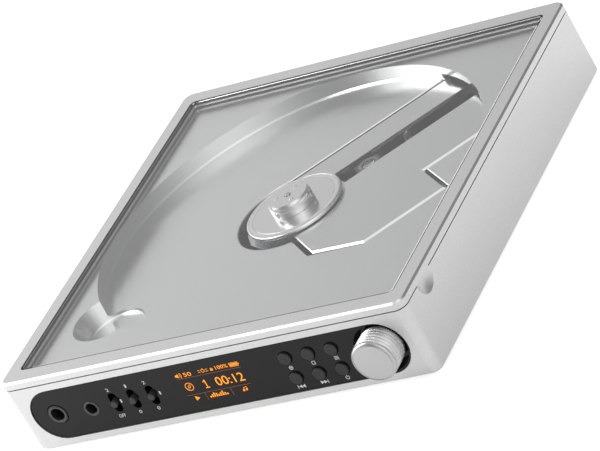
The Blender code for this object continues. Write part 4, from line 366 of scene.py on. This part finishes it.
def add_piece(name, mesh, material, body, replaces=()):
    """A finished piece: its material, the body it rides on and the nodes it stands for."""
    piece = bpy.data.objects.new(name, mesh)
    bpy.context.scene.collection.objects.link(piece)
    mesh.materials.clear()
    mesh.materials.append(material)
    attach(piece, body)
    if replaces:
        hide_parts(*replaces)
    return piece


def even_normals(piece, angle=ROUND_ANGLE):
    """Smooth shading whose normals follow the large faces, with edges over the angle kept sharp."""
    piece.data.shade_smooth()
    piece.data.set_sharp_from_angle(angle=math.radians(angle))
    weighted = piece.modifiers.new("even_normals", "WEIGHTED_NORMAL")
    weighted.keep_sharp = True


def bevel_cover(shape):
    """The broad bright bevel along the mechanism cover's edges that face the front right."""
    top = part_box("mechanism_cover")[1].z
    edges = []
    for edge in shape.edges:
        on_top = all(abs(vertex.co.z - top) <= WELD_DISTANCE for vertex in edge.verts)
        if not on_top or len(edge.link_faces) != 2:
            continue
        at_side = any(abs(face.normal.z) < 0.5 for face in edge.link_faces)
        middle = (edge.verts[0].co + edge.verts[1].co) / 2
        to_left = (middle.y - DISC_Y - middle.x) * math.sqrt(0.5)
        from_hub = math.hypot(middle.x, middle.y - DISC_Y)
        if at_side and to_left < -COVER_SLOT_SIDE and from_hub > COVER_HUB_REACH:
            edges.append(edge)
    bmesh.ops.bevel(
        shape,
        geom=edges,
        offset=COVER_BEVEL,
        segments=COVER_BEVEL_STEPS,
        profile=0.5,
        affect="EDGES",
        clamp_overlap=True,
    )


def refine(node):
    """A welded copy of a node's solid with even normals, which stands for the node."""
    shape = bmesh.new()
    shape.from_mesh(frame["nodes"][node].data)
    bmesh.ops.remove_doubles(shape, verts=shape.verts, dist=WELD_DISTANCE)
    bmesh.ops.dissolve_limit(shape, angle_limit=FLAT_ANGLE, verts=shape.verts, edges=shape.edges)
    if node == "mechanism_cover":
        bevel_cover(shape)
    shape.verts.index_update()
    places = [vertex.co.copy() for vertex in shape.verts]
    faces = [[vertex.index for vertex in face.verts] for face in shape.faces]
    shape.free()
    mesh = bpy.data.meshes.new(node + "_skin")
    mesh.from_pydata(places, [], faces)
    material, slot = look_of(node)
    even_normals(add_piece(node + "_skin", mesh, material, body_of(node), (node,)))


def dress_nodes():
    """Each node gets its material, and those that aren't made anew get a refined skin."""
    for node, thing in frame["nodes"].items():
        material, slot = look_of(node)
        thing.data.materials.clear()
        thing.data.materials.append(material)
    for node in sorted(frame["nodes"]):
        if node not in REMADE_NODES:
            refine(node)


def arc(centre, radius, start, end, steps):
    """Points on a circle between two angles in degrees."""
    angles = [math.radians(start + (end - start) * step / steps) for step in range(steps + 1)]
    return [(centre[0] + radius * math.cos(angle), centre[1] + radius * math.sin(angle)) for angle in angles]


def turned(name, profile, place, steps=ROUND_STEPS, loop=False, cut=None):
    """A mesh turned about a place's Z axis from (radius, height) points. A cut takes some off the radius."""
    shape = bmesh.new()
    rings = []
    for index, (radius, height) in enumerate(profile):
        if radius < ON_AXIS:
            rings.append([shape.verts.new(place @ Vector((0.0, 0.0, height)))])
            continue
        ring = []
        for step in range(steps):
            angle = math.tau * step / steps
            reach = radius - (cut(index, angle) if cut else 0.0)
            point = Vector((reach * math.cos(angle), reach * math.sin(angle), height))
            ring.append(shape.verts.new(place @ point))
        rings.append(ring)
    pairs = list(zip(rings, rings[1:]))
    if loop:
        pairs.append((rings[-1], rings[0]))
    for low, high in pairs:
        for step in range(steps):
            after = (step + 1) % steps
            if len(low) == 1:
                shape.faces.new((low[0], high[step], high[after]))
            elif len(high) == 1:
                shape.faces.new((low[step], high[0], low[after]))
            else:
                shape.faces.new((low[step], low[after], high[after], high[step]))
    bmesh.ops.recalc_face_normals(shape, faces=shape.faces)
    mesh = bpy.data.meshes.new(name)
    shape.to_mesh(mesh)
    shape.free()
    return mesh


def front_place(node):
    """The place on the front of a node that is round about an axis to the front."""
    low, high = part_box(node)
    across = (low.x + high.x) / 2
    level = (low.z + high.z) / 2 - BASE_Z
    return FRONT_FRAME @ Matrix.Translation((across, level, 0.0))


# Volume knob
KNOB_TEETH = 84
KNOB_TOOTH_STEPS = 6
KNOB_TOOTH_DEPTH = 0.00030
KNOB_RINGS = 56
KNOB_STEM_RADIUS = 0.0030
KNOB_SUNK = 0.0018
KNOB_RIM = 0.0006
KNOB_LIP = 0.00045
KNOB_GROOVE = 0.00030
KNOB_GROOVE_DEPTH = 0.00018
KNOB_FACE_INSET = 0.0011


def build_knob():
    """A knurled barrel, polished on its knurl, with a chamfer, a fine groove and a flat satin face."""
    low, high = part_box("volume_knob")
    radius = (high.x - low.x) / 2
    front = FRONT_Y - low.y
    back = FRONT_Y - high.y
    face_radius = radius - KNOB_FACE_INSET
    start = -KNOB_SUNK + KNOB_LIP
    end = front - KNOB_RIM - KNOB_LIP
    profile = [
        (0.0, back),
        (KNOB_STEM_RADIUS, back),
        (KNOB_STEM_RADIUS, -KNOB_SUNK),
        (radius - KNOB_LIP, -KNOB_SUNK),
        (radius, -KNOB_SUNK + KNOB_LIP / 2),
        *[(radius, start + (end - start) * ring / KNOB_RINGS) for ring in range(KNOB_RINGS + 1)],
        (radius - KNOB_LIP / 3, front - KNOB_RIM),
        (radius - KNOB_LIP / 2, front - KNOB_RIM),
        (face_radius + KNOB_GROOVE + KNOB_LIP / 3, front - KNOB_LIP / 9),
        (face_radius + KNOB_GROOVE, front),
        (face_radius + KNOB_GROOVE, front - KNOB_GROOVE_DEPTH),
        (face_radius, front - KNOB_GROOVE_DEPTH),
        (face_radius, front - KNOB_LIP / 9),
        (face_radius - KNOB_LIP / 3, front),
        (0.0, front),
    ]

    def cut(index, angle):
        """Two crossed sets of grooves at 45 degrees to the axis."""
        level = profile[index][1]
        if profile[index][0] < radius or not start <= level <= end:
            return 0.0
        slant = level / radius
        waves = math.cos(KNOB_TEETH * (angle + slant)) + math.cos(KNOB_TEETH * (angle - slant))
        return KNOB_TOOTH_DEPTH * (0.5 - 0.25 * waves)

    mesh = turned("knob", profile, front_place("volume_knob"), KNOB_TEETH * KNOB_TOOTH_STEPS, cut=cut)
    knob = add_piece("knob", mesh, KNOB, "volume_knob", ("volume_knob",))
    mesh.materials.append(POLISHED)
    axis = front_place("volume_knob").inverted()
    for face in mesh.polygons:
        place = axis @ face.center
        reach = math.hypot(place.x, place.y)
        if reach > radius - 2 * KNOB_TOOTH_DEPTH and start < place.z < end:
            face.material_index = 1
    even_normals(knob, TURNED_ANGLE)


# Keys
KEY_RADIUS = 0.0021
KEY_FILLET = 0.00028
KEY_DISH = 0.00004
KEY_DISH_SHARE = 0.6
KEY_COLLAR = 0.0006
KEY_STEPS = 72


def build_keys():
    """Round keys with a soft edge, a barely dished face and a collar behind the panel."""
    for node in KEY_NODES:
        low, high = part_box(node)
        front = FRONT_Y - low.y
        back = FRONT_Y - high.y
        collar_radius = (high.x - low.x) / 2
        profile = [
            (0.0, back),
            (collar_radius, back),
            (collar_radius, back + KEY_COLLAR),
            (KEY_RADIUS, back + KEY_COLLAR),
            *arc((KEY_RADIUS - KEY_FILLET, front - KEY_FILLET), KEY_FILLET, 0.0, 90.0, WIDE_FILLET_STEPS),
            (KEY_RADIUS * KEY_DISH_SHARE, front - KEY_DISH * KEY_DISH_SHARE),
            (0.0, front - KEY_DISH),
        ]
        mesh = turned(node + "_cap", profile, front_place(node), KEY_STEPS)
        cap = add_piece(node + "_cap", mesh, KEY_BLACK, node, (node,))
        even_normals(cap, FILLET_ANGLE)


# Sockets and sliders
RIM_PROUD = 0.00006
RIM_WALL = 0.00075
RIM_DEPTH = 0.0010
RIM_CLEARANCE = 0.00002
SLIDER_RADIUS = 0.00124
SLIDER_FILLET = 0.00030
SLIDER_SINK = 0.0016
SLIDER_STEPS = 64
SLIDER_CROWN = 0.00004


def build_socket_rims():
    """A thin rounded metal rim in the mouth of each front socket."""
    for node, bore in JACK_BORES.items():
        level = FRONT_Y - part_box(node)[0].y + RIM_PROUD
        inner = bore + RIM_CLEARANCE
        outer = inner + RIM_WALL
        fillet = RIM_WALL / 3
        profile = [
            (inner, level - RIM_DEPTH),
            *arc((inner + fillet, level - fillet), fillet, 180.0, 90.0, FILLET_STEPS),
            *arc((outer - fillet, level - fillet), fillet, 90.0, 0.0, FILLET_STEPS),
            (outer, level - RIM_DEPTH),
        ]
        mesh = turned(node + "_rim", profile, front_place(node), loop=True)
        even_normals(add_piece(node + "_rim", mesh, RIM_GREY, "player"), FILLET_ANGLE)


def build_slider_caps():
    """A smooth round cap on the stud of each slide switch."""
    for node in SLIDER_NODES:
        front = FRONT_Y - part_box(node)[0].y
        edge = (SLIDER_RADIUS - SLIDER_FILLET, front - SLIDER_FILLET)
        profile = [
            (0.0, -SLIDER_SINK),
            (SLIDER_RADIUS, -SLIDER_SINK),
            *arc(edge, SLIDER_FILLET, 0.0, 90.0, WIDE_FILLET_STEPS),
            (0.0, front + SLIDER_CROWN),
        ]
        mesh = turned(node + "_cap", profile, front_place(node), SLIDER_STEPS)
        even_normals(add_piece(node + "_cap", mesh, SLIDER_GREY, node), FILLET_ANGLE)


# Turntable
FLANGE_STEPS = 192
FLANGE_THICKNESS = 0.0013
FLANGE_BORE = 0.0011
FLANGE_HUB = 0.0052
FLANGE_FILLET = 0.00055
PAD_INNER = 0.0145
PAD_OUTER = 0.0160
PAD_GROOVE = 0.00025
PAD_PROUD = 0.00008
EDGE_BREAK = 0.00008


def build_turntable():
    """The turned flange with its rounded rim and groove, and the soft pad that lies in the groove."""
    top = FLANGE_TOP_Z
    low = top - FLANGE_THICKNESS
    rim = FLANGE_RADIUS - FLANGE_FILLET
    profile = [
        (FLANGE_BORE, FLANGE_LOW_Z),
        (FLANGE_HUB, FLANGE_LOW_Z),
        (FLANGE_HUB, low),
        (rim, low),
        *arc((rim, low + FLANGE_FILLET), FLANGE_FILLET, -90.0, 0.0, WIDE_FILLET_STEPS)[1:],
        *arc((rim, top - FLANGE_FILLET), FLANGE_FILLET, 0.0, 90.0, FLANGE_RIM_STEPS),
        (PAD_OUTER + EDGE_BREAK, top),
        (PAD_OUTER, top - EDGE_BREAK),
        (PAD_OUTER, top - PAD_GROOVE),
        (PAD_INNER, top - PAD_GROOVE),
        (PAD_INNER, top - EDGE_BREAK),
        (PAD_INNER - EDGE_BREAK, top),
        (FLANGE_BORE, top),
    ]
    mesh = turned("flange", profile, BODY_FRAME, FLANGE_STEPS, loop=True)
    flange = add_piece("flange", mesh, TURNED, "turntable", ("turntable_flange",))
    even_normals(flange, TURNED_ANGLE)
    wall = EDGE_BREAK / 2
    rise = top + PAD_PROUD
    fillet = PAD_PROUD * 2
    profile = [
        (PAD_INNER + wall, top - PAD_GROOVE + wall),
        (PAD_OUTER - wall, top - PAD_GROOVE + wall),
        *arc((PAD_OUTER - wall - fillet, rise - fillet), fillet, 0.0, 90.0, FILLET_STEPS),
        *arc((PAD_INNER + wall + fillet, rise - fillet), fillet, 90.0, 180.0, FILLET_STEPS),
    ]
    mesh = turned("pad", profile, BODY_FRAME, FLANGE_STEPS, loop=True)
    pad = add_piece("pad", mesh, PAD_GREY, "turntable", ("disc_pad",))
    even_normals(pad, FILLET_ANGLE)


# Lens
LENS_RING_INNER = 0.0023
LENS_RING_OUTER = 0.0036
LENS_RING_HEIGHT = 0.00032
LENS_RING_GAP = 0.000001


def build_lens_ring():
    """The dark ring round the lens, on its holder."""
    low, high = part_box("objective_lens")
    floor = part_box("lens_holder")[1].z + LENS_RING_GAP
    place = Matrix.Translation(((low.x + high.x) / 2, (low.y + high.y) / 2, floor))
    fillet = LENS_RING_HEIGHT / 3
    profile = [
        (LENS_RING_INNER, 0.0),
        (LENS_RING_OUTER, 0.0),
        *arc((LENS_RING_OUTER - fillet, LENS_RING_HEIGHT - fillet), fillet, 0.0, 90.0, FILLET_STEPS),
        (LENS_RING_INNER + fillet, LENS_RING_HEIGHT),
        (LENS_RING_INNER, LENS_RING_HEIGHT / 2),
    ]
    mesh = turned("lens_ring", profile, place, loop=True)
    ring = add_piece("lens_ring", mesh, CARRIAGE, body_of("objective_lens"))
    even_normals(ring, FILLET_ANGLE)


# Signs on the front panel, drawn in millimetres: across, and above the housing's bottom
MM = 0.001
SIGN_LINE = 0.16
FINE_LINE = 0.14
PRINT_LINE = 0.19
STROKE_END_SHARE = 0.4
TRIANGLE_BACK_SHARE = 0.42
TRIANGLE_TIP_SHARE = 0.5

# The signs' thickness, and the depth and fineness of the letters that they start from
SIGN_RISE = 0.00003
SIGN_SINK = 0.00004
FONT_DEPTH = 0.02
FONT_FINENESS = 4


class Signs:
    """Thin raised marks on the front panel, gathered in one mesh."""

    def __init__(self):
        self.places = []
        self.faces = []

    def add(self, points, faces):
        """Points as (across, level, depth), and faces by the points' numbers."""
        base = len(self.places)
        self.places.extend(points)
        self.faces.extend([base + index for index in face] for face in faces)

    def patch(self, outline):
        """A filled flat shape."""
        count = len(outline)
        points = [(x, z, SIGN_RISE) for x, z in outline] + [(x, z, -SIGN_SINK) for x, z in outline]
        sides = [(i, i + count, (i + 1) % count + count, (i + 1) % count) for i in range(count)]
        self.add(points, [tuple(range(count)), tuple(range(2 * count - 1, count - 1, -1)), *sides])

    def box(self, left, low, right, high):
        """A filled rectangle."""
        self.patch([(left, low), (right, low), (right, high), (left, high)])

    def stroke(self, line, width, closed=False):
        """A line of even width through points, each stretch a patch of its own."""
        ends = list(zip(line, line[1:]))
        if closed:
            ends.append((line[-1], line[0]))
        for start, end in ends:
            along = (Vector(end) - Vector(start)).normalized() * (width / 2)
            side = Vector((-along.y, along.x))
            first = Vector(start) - along * STROKE_END_SHARE
            last = Vector(end) + along * STROKE_END_SHARE
            self.patch([tuple(first - side), tuple(last - side), tuple(last + side), tuple(first + side)])

    def ring(self, centre, radius, width, start=0.0, end=360.0, steps=48):
        """A ring or an arc of even width, as one strip."""
        inner = arc(centre, radius - width / 2, start, end, steps)
        outer = arc(centre, radius + width / 2, start, end, steps)
        for index in range(steps):
            self.patch([inner[index], outer[index], outer[index + 1], inner[index + 1]])

    def text(self, words, left, low, right, high):
        """Digits and plain words, fitted to a rectangle."""
        curve = bpy.data.curves.new("sign_text", "FONT")
        curve.body = words
        curve.extrude = FONT_DEPTH
        curve.resolution_u = FONT_FINENESS
        writer = bpy.data.objects.new("sign_text", curve)
        bpy.context.scene.collection.objects.link(writer)
        tree = bpy.context.evaluated_depsgraph_get()
        mesh = bpy.data.meshes.new_from_object(writer.evaluated_get(tree))
        xs = [vertex.co.x for vertex in mesh.vertices]
        ys = [vertex.co.y for vertex in mesh.vertices]
        font_left, font_low = min(xs), min(ys)
        scale_x = (right - left) / (max(xs) - font_left)
        scale_y = (high - low) / (max(ys) - font_low)
        points = []
        for vertex in mesh.vertices:
            across = left + (vertex.co.x - font_left) * scale_x
            level = low + (vertex.co.y - font_low) * scale_y
            depth = SIGN_RISE if vertex.co.z > 0 else -SIGN_SINK
            points.append((across, level, depth))
        self.add(points, [tuple(polygon.vertices) for polygon in mesh.polygons])
        bpy.data.objects.remove(writer)
        bpy.data.curves.remove(curve)
        bpy.data.meshes.remove(mesh)

    def finish(self, name, material):
        """The marks as one piece on the panel's face."""
        mesh = bpy.data.meshes.new(name)
        places = [FRONT_FRAME @ Vector((x * MM, z * MM, PANEL_FACE + depth)) for x, z, depth in self.places]
        mesh.from_pydata(places, [], self.faces)
        shape = bmesh.new()
        shape.from_mesh(mesh)
        bmesh.ops.remove_doubles(shape, verts=shape.verts, dist=WELD_DISTANCE / 2)
        bmesh.ops.recalc_face_normals(shape, faces=shape.faces)
        shape.to_mesh(mesh)
        shape.free()
        add_piece(name, mesh, material, "player")


def triangle(centre, size, ahead=1.0):
    """A play triangle's corners, pointing right, or left with ahead at -1."""
    x, z = centre
    back = x - ahead * size * TRIANGLE_BACK_SHARE
    tip = x + ahead * size * TRIANGLE_TIP_SHARE
    return [(back, z - size / 2), (tip, z), (back, z + size / 2)]


METER_HEIGHTS = (0.6, 1.1, 1.6, 1.3, 0.8, 1.2, 1.7, 1.0, 0.6)


def draw_status_row(signs):
    """Loudness, repeat, lock and charge, in the top row."""
    speaker = (-11.5, 16.6)
    horn = [(-12.5, 16.25), (-12.0, 16.25), (-11.4, 15.8), (-11.4, 17.4), (-12.0, 16.95), (-12.5, 16.95)]
    signs.patch(horn)
    for radius in (0.75, 1.25):
        signs.ring(speaker, radius, SIGN_LINE, -50.0, 50.0, 12)
    signs.text("50", -9.4, 15.9, -6.6, 17.35)
    signs.ring((-2.1, 16.75), 0.55, SIGN_LINE, 100.0, 400.0, 24)
    signs.patch([(-2.1, 17.0), (-2.1, 17.6), (-1.6, 17.3)])
    for level in (16.4, 17.1):
        for start, end in ((-3.8, -3.1), (-1.1, -0.3)):
            signs.stroke([(start, level), (end, level)], SIGN_LINE)
    signs.box(0.65, 16.2, 1.6, 16.8)
    signs.ring((1.12, 16.8), 0.34, FINE_LINE, 0.0, 180.0, 12)
    signs.text("100%", 2.6, 16.2, 7.1, 17.55)
    signs.stroke([(7.9, 16.1), (10.9, 16.1), (10.9, 17.5), (7.9, 17.5)], FINE_LINE, closed=True)
    signs.box(10.95, 16.55, 11.3, 17.05)
    for index in range(4):
        signs.box(8.15 + index * 0.66, 16.35, 8.65 + index * 0.66, 17.25)


def draw_track_row(signs):
    """A disc, the track's number and its time, in the middle row."""
    disc = (-9.75, 12.1)
    signs.ring(disc, 1.4, 0.20)
    signs.ring(disc, 0.42, 0.18)
    for start in (20.0, 200.0):
        signs.ring(disc, 0.95, 0.12, start, start + 60.0, 12)
    signs.box(-3.75, 10.4, -3.40, 13.5)
    signs.stroke([(-4.3, 12.75), (-3.65, 13.35)], 0.3)
    signs.box(-4.3, 10.4, -2.85, 10.7)
    signs.text("00:12", 0.1, 10.4, 10.4, 13.6)


def draw_play_row(signs):
    """Play, a level meter and a note, in the bottom row."""
    signs.patch(triangle((-9.2, 7.55), 1.7))
    for index, height in enumerate(METER_HEIGHTS):
        signs.box(-4.7 + index * 0.78, 6.75, -4.25 + index * 0.78, 6.75 + height)
    signs.ring((7.75, 7.0), 0.24, 0.24)
    signs.ring((8.85, 7.15), 0.24, 0.24)
    signs.stroke([(8.05, 7.0), (8.05, 8.0), (9.15, 8.15), (9.15, 7.15)], FINE_LINE)


def build_display():
    """The lit signs, all plain numbers and common symbols, with thin dim lines between the rows."""
    bright = Signs()
    draw_status_row(bright)
    draw_track_row(bright)
    draw_play_row(bright)
    bright.finish("display_signs", AMBER)
    dim = Signs()
    dim.box(-12.4, 15.32, 11.3, 15.44)
    dim.box(-12.4, 8.94, 11.2, 9.06)
    dim.box(-5.91, 6.1, -5.79, 8.9)
    dim.box(3.54, 6.1, 3.66, 8.9)
    dim.finish("display_lines", AMBER_DIM)


# The digits by the second and third switch: what they say, their middle and their foot
SWITCH_DIGITS = (
    ("1", -31.35, 16.35),
    ("0", -31.35, 6.25),
    ("2", -24.4, 16.25),
    ("1", -20.9, 11.5),
    ("0", -24.4, 6.25),
)
DIGIT_HEIGHT = 1.2
NARROW_DIGIT_HALF = 0.28
WIDE_DIGIT_HALF = 0.5


def draw_skip(signs, first, second, bar, ahead):
    """Two triangles and a bar: to the next track, or to the one before with ahead at -1."""
    for across in (first, second):
        signs.patch(triangle((across, 4.35), 1.25, ahead))
    signs.box(bar, 3.72, bar + 0.23, 4.98)


def build_prints():
    """The white marks by the keys and switches: common symbols and plain numbers."""
    prints = Signs()
    prints.ring((27.6, 11.5), 0.62, PRINT_LINE)
    prints.ring((27.6, 11.5), 0.14, 0.28)
    prints.stroke([(35.3, 11.15), (36.4, 11.15), (36.4, 12.25), (35.3, 12.25)], PRINT_LINE, closed=True)
    for index in range(3):
        prints.box(43.4, 11.2 + index * 0.5, 45.0, 11.2 + PRINT_LINE + index * 0.5)
    draw_skip(prints, 27.2, 28.35, 26.15, -1.0)
    draw_skip(prints, 35.1, 36.25, 37.0, 1.0)
    prints.ring((44.1, 4.3), 0.62, PRINT_LINE, 125.0, 415.0, 32)
    prints.box(44.0, 4.4, 44.2, 5.2)
    prints.text("OFF", -39.7, 6.1, -37.2, 7.3)
    prints.text("1", -36.1, 11.4, -35.55, 12.6)
    prints.text("2", -38.9, 16.2, -37.9, 17.4)
    for words, across, level in SWITCH_DIGITS:
        half = NARROW_DIGIT_HALF if words == "1" else WIDE_DIGIT_HALF
        prints.text(words, across - half, level, across + half, level + DIGIT_HEIGHT)
    prints.finish("panel_prints", PRINT_WHITE)


# Camera, matched to the photograph
CAMERA_EYE = (0.6982, -0.8483 + FRONT_Y, 0.5538 + BASE_Z)
CAMERA_AHEAD = (-0.5463, 0.7235, -0.4221)
CAMERA_RIGHT = (0.8170, 0.3491, -0.4590)
CAMERA_LENS = 244.06
CAMERA_SENSOR = 36.0
CAMERA_CLIP_START = 0.001
CAMERA_CLIP_END = 100.0


def build_camera():
    """The photograph's view: a long lens from the front right, turned about its own axis."""
    ahead = Vector(CAMERA_AHEAD).normalized()
    right = Vector(CAMERA_RIGHT)
    right = (right - ahead * right.dot(ahead)).normalized()
    up = right.cross(ahead)
    data = bpy.data.cameras.new("camera")
    data.sensor_width = CAMERA_SENSOR
    data.lens = CAMERA_LENS
    data.clip_start = CAMERA_CLIP_START
    data.clip_end = CAMERA_CLIP_END
    camera = bpy.data.objects.new("camera", data)
    turn = Matrix((right, up, -ahead)).transposed().to_4x4()
    camera.matrix_world = Matrix.Translation(CAMERA_EYE) @ turn
    bpy.context.scene.collection.objects.link(camera)
    bpy.context.scene.camera = camera


# The world: its even light, how bright it is where it is mirrored, and the lighter sides of the studio there,
# each with its direction, how narrow it is and its strength
AMBIENT = 0.65
MIRRORED = 0.20
LOBES = (
    ((0.7, -0.6, 0.4), 6.0, 1.0),
    ((-0.6, 0.8, 0.05), 20.0, 1.0),
    ((-0.95, 0.0, 0.3), 6.0, 2.3),
    ((0.30, -0.2, 0.9), 12.0, 0.8),
    ((-0.05, 0.15, 1.0), 18.0, 1.4),
)

# The floor: its glow where it is seen, and the glow where it is mirrored, which rises along a direction
# between two reaches from the middle, up to a strength
FLOOR_REACH = 3.0
FLOOR_DROP = 0.0001
FLOOR_COLOUR = (0.9, 0.9, 0.9, 1.0)
FLOOR_SEEN = 0.62
FLOOR_NEAR_LEFT = ((-1.0, 0.0, 0.0), -0.1, 0.1, 0.32)
FLOOR_FAR_RIGHT = ((0.6, 0.8, 0.0), -0.1, 0.3, 0.40)

# The one lamp
KEY_PLACE = (-0.55, -0.25, 0.65)
KEY_TARGET = (0.0, 0.0, 0.0)
KEY_SIZE = 0.5
KEY_POWER = 2.4


def ray_shares(tree):
    """Two shares: rays from the camera or through glass, and mirrored rays."""
    path = tree.node("ShaderNodeLightPath")
    seen = tree.math("MAXIMUM", path.outputs["Is Camera Ray"], path.outputs["Is Transmission Ray"])
    return seen, path.outputs["Is Glossy Ray"]


def build_world():
    """A studio: white where it is seen, with lighter sides where it is mirrored, and an even light."""
    world = bpy.data.worlds.new("studio")
    bpy.context.scene.world = world
    world.use_nodes = True
    tree = Tree(world.node_tree)
    world.node_tree.nodes.clear()
    direction = tree.node("ShaderNodeTexCoord").outputs["Generated"]
    mirrored = MIRRORED
    for axis, power, strength in LOBES:
        facing = tree.math("MAXIMUM", tree.along(axis, direction), 0.0)
        lobe = tree.math("MULTIPLY", tree.math("POWER", facing, power), strength)
        mirrored = tree.math("ADD", lobe, mirrored)
    seen, glossy = ray_shares(tree)
    mirror = tree.node("ShaderNodeBackground")
    tree.link(mirrored, mirror.inputs["Strength"])
    light = tree.node("ShaderNodeBackground")
    light.inputs["Strength"].default_value = AMBIENT
    backdrop = tree.node("ShaderNodeBackground")
    backdrop.inputs["Strength"].default_value = 1.0
    for background in (mirror, light, backdrop):
        background.inputs["Color"].default_value = WHITE
    first = tree.node("ShaderNodeMixShader")
    tree.link(glossy, first.inputs["Fac"])
    tree.link(light.outputs["Background"], first.inputs[1])
    tree.link(mirror.outputs["Background"], first.inputs[2])
    second = tree.node("ShaderNodeMixShader")
    tree.link(seen, second.inputs["Fac"])
    tree.link(first.outputs["Shader"], second.inputs[1])
    tree.link(backdrop.outputs["Background"], second.inputs[2])
    tree.link(second.outputs["Shader"], tree.node("ShaderNodeOutputWorld").inputs["Surface"])


def build_floor():
    """A pale floor that is white where it is seen and still takes the object's shadow."""
    mesh = bpy.data.meshes.new("floor")
    corners = [(-1, -1), (1, -1), (1, 1), (-1, 1)]
    places = [(x * FLOOR_REACH, y * FLOOR_REACH, -FLOOR_DROP) for x, y in corners]
    mesh.from_pydata(places, [], [(0, 1, 2, 3)])
    floor = bpy.data.objects.new("floor", mesh)
    bpy.context.scene.collection.objects.link(floor)
    material = bpy.data.materials.new("floor")
    material.use_nodes = True
    tree = Tree(material.node_tree)
    material.node_tree.nodes.clear()
    diffuse = tree.node("ShaderNodeBsdfDiffuse")
    diffuse.inputs["Color"].default_value = FLOOR_COLOUR
    place = tree.node("ShaderNodeTexCoord").outputs["Object"]
    mirrored = 0.0
    for axis, start, end, strength in (FLOOR_NEAR_LEFT, FLOOR_FAR_RIGHT):
        rise = tree.ramp(tree.along(axis, place), start, end, 0.0, strength)
        mirrored = tree.math("ADD", rise, mirrored)
    seen, glossy = ray_shares(tree)
    only_glossy = tree.math("MULTIPLY", glossy, tree.math("SUBTRACT", 1.0, seen))
    share = tree.math("MULTIPLY", only_glossy, mirrored)
    strength = tree.math("ADD", share, tree.math("MULTIPLY", seen, FLOOR_SEEN))
    glow = tree.node("ShaderNodeEmission")
    glow.inputs["Color"].default_value = WHITE
    tree.link(strength, glow.inputs["Strength"])
    add = tree.node("ShaderNodeAddShader")
    tree.link(diffuse.outputs["BSDF"], add.inputs[0])
    tree.link(glow.outputs["Emission"], add.inputs[1])
    tree.link(add.outputs["Shader"], tree.node("ShaderNodeOutputMaterial").inputs["Surface"])
    mesh.materials.append(material)


def area_light(name, place, target, size, power):
    """A square soft box that faces its target and isn't seen by the camera."""
    data = bpy.data.lights.new(name, "AREA")
    data.shape = "SQUARE"
    data.size = size
    data.energy = power
    lamp = bpy.data.objects.new(name, data)
    direction = Vector(target) - Vector(place)
    turn = direction.to_track_quat("-Z", "Y").to_matrix().to_4x4()
    lamp.matrix_world = Matrix.Translation(place) @ turn
    lamp.visible_camera = False
    bpy.context.scene.collection.objects.link(lamp)


def build_lights():
    area_light("key_softbox", KEY_PLACE, KEY_TARGET, KEY_SIZE, KEY_POWER)


def build_view():
    bpy.context.scene.view_settings.view_transform = "Standard"


build_camera()
build_world()
build_floor()
build_lights()
build_view()
dress_nodes()
build_knob()
build_keys()
build_socket_rims()
build_slider_caps()
build_turntable()
build_lens_ring()
build_display()
build_prints()
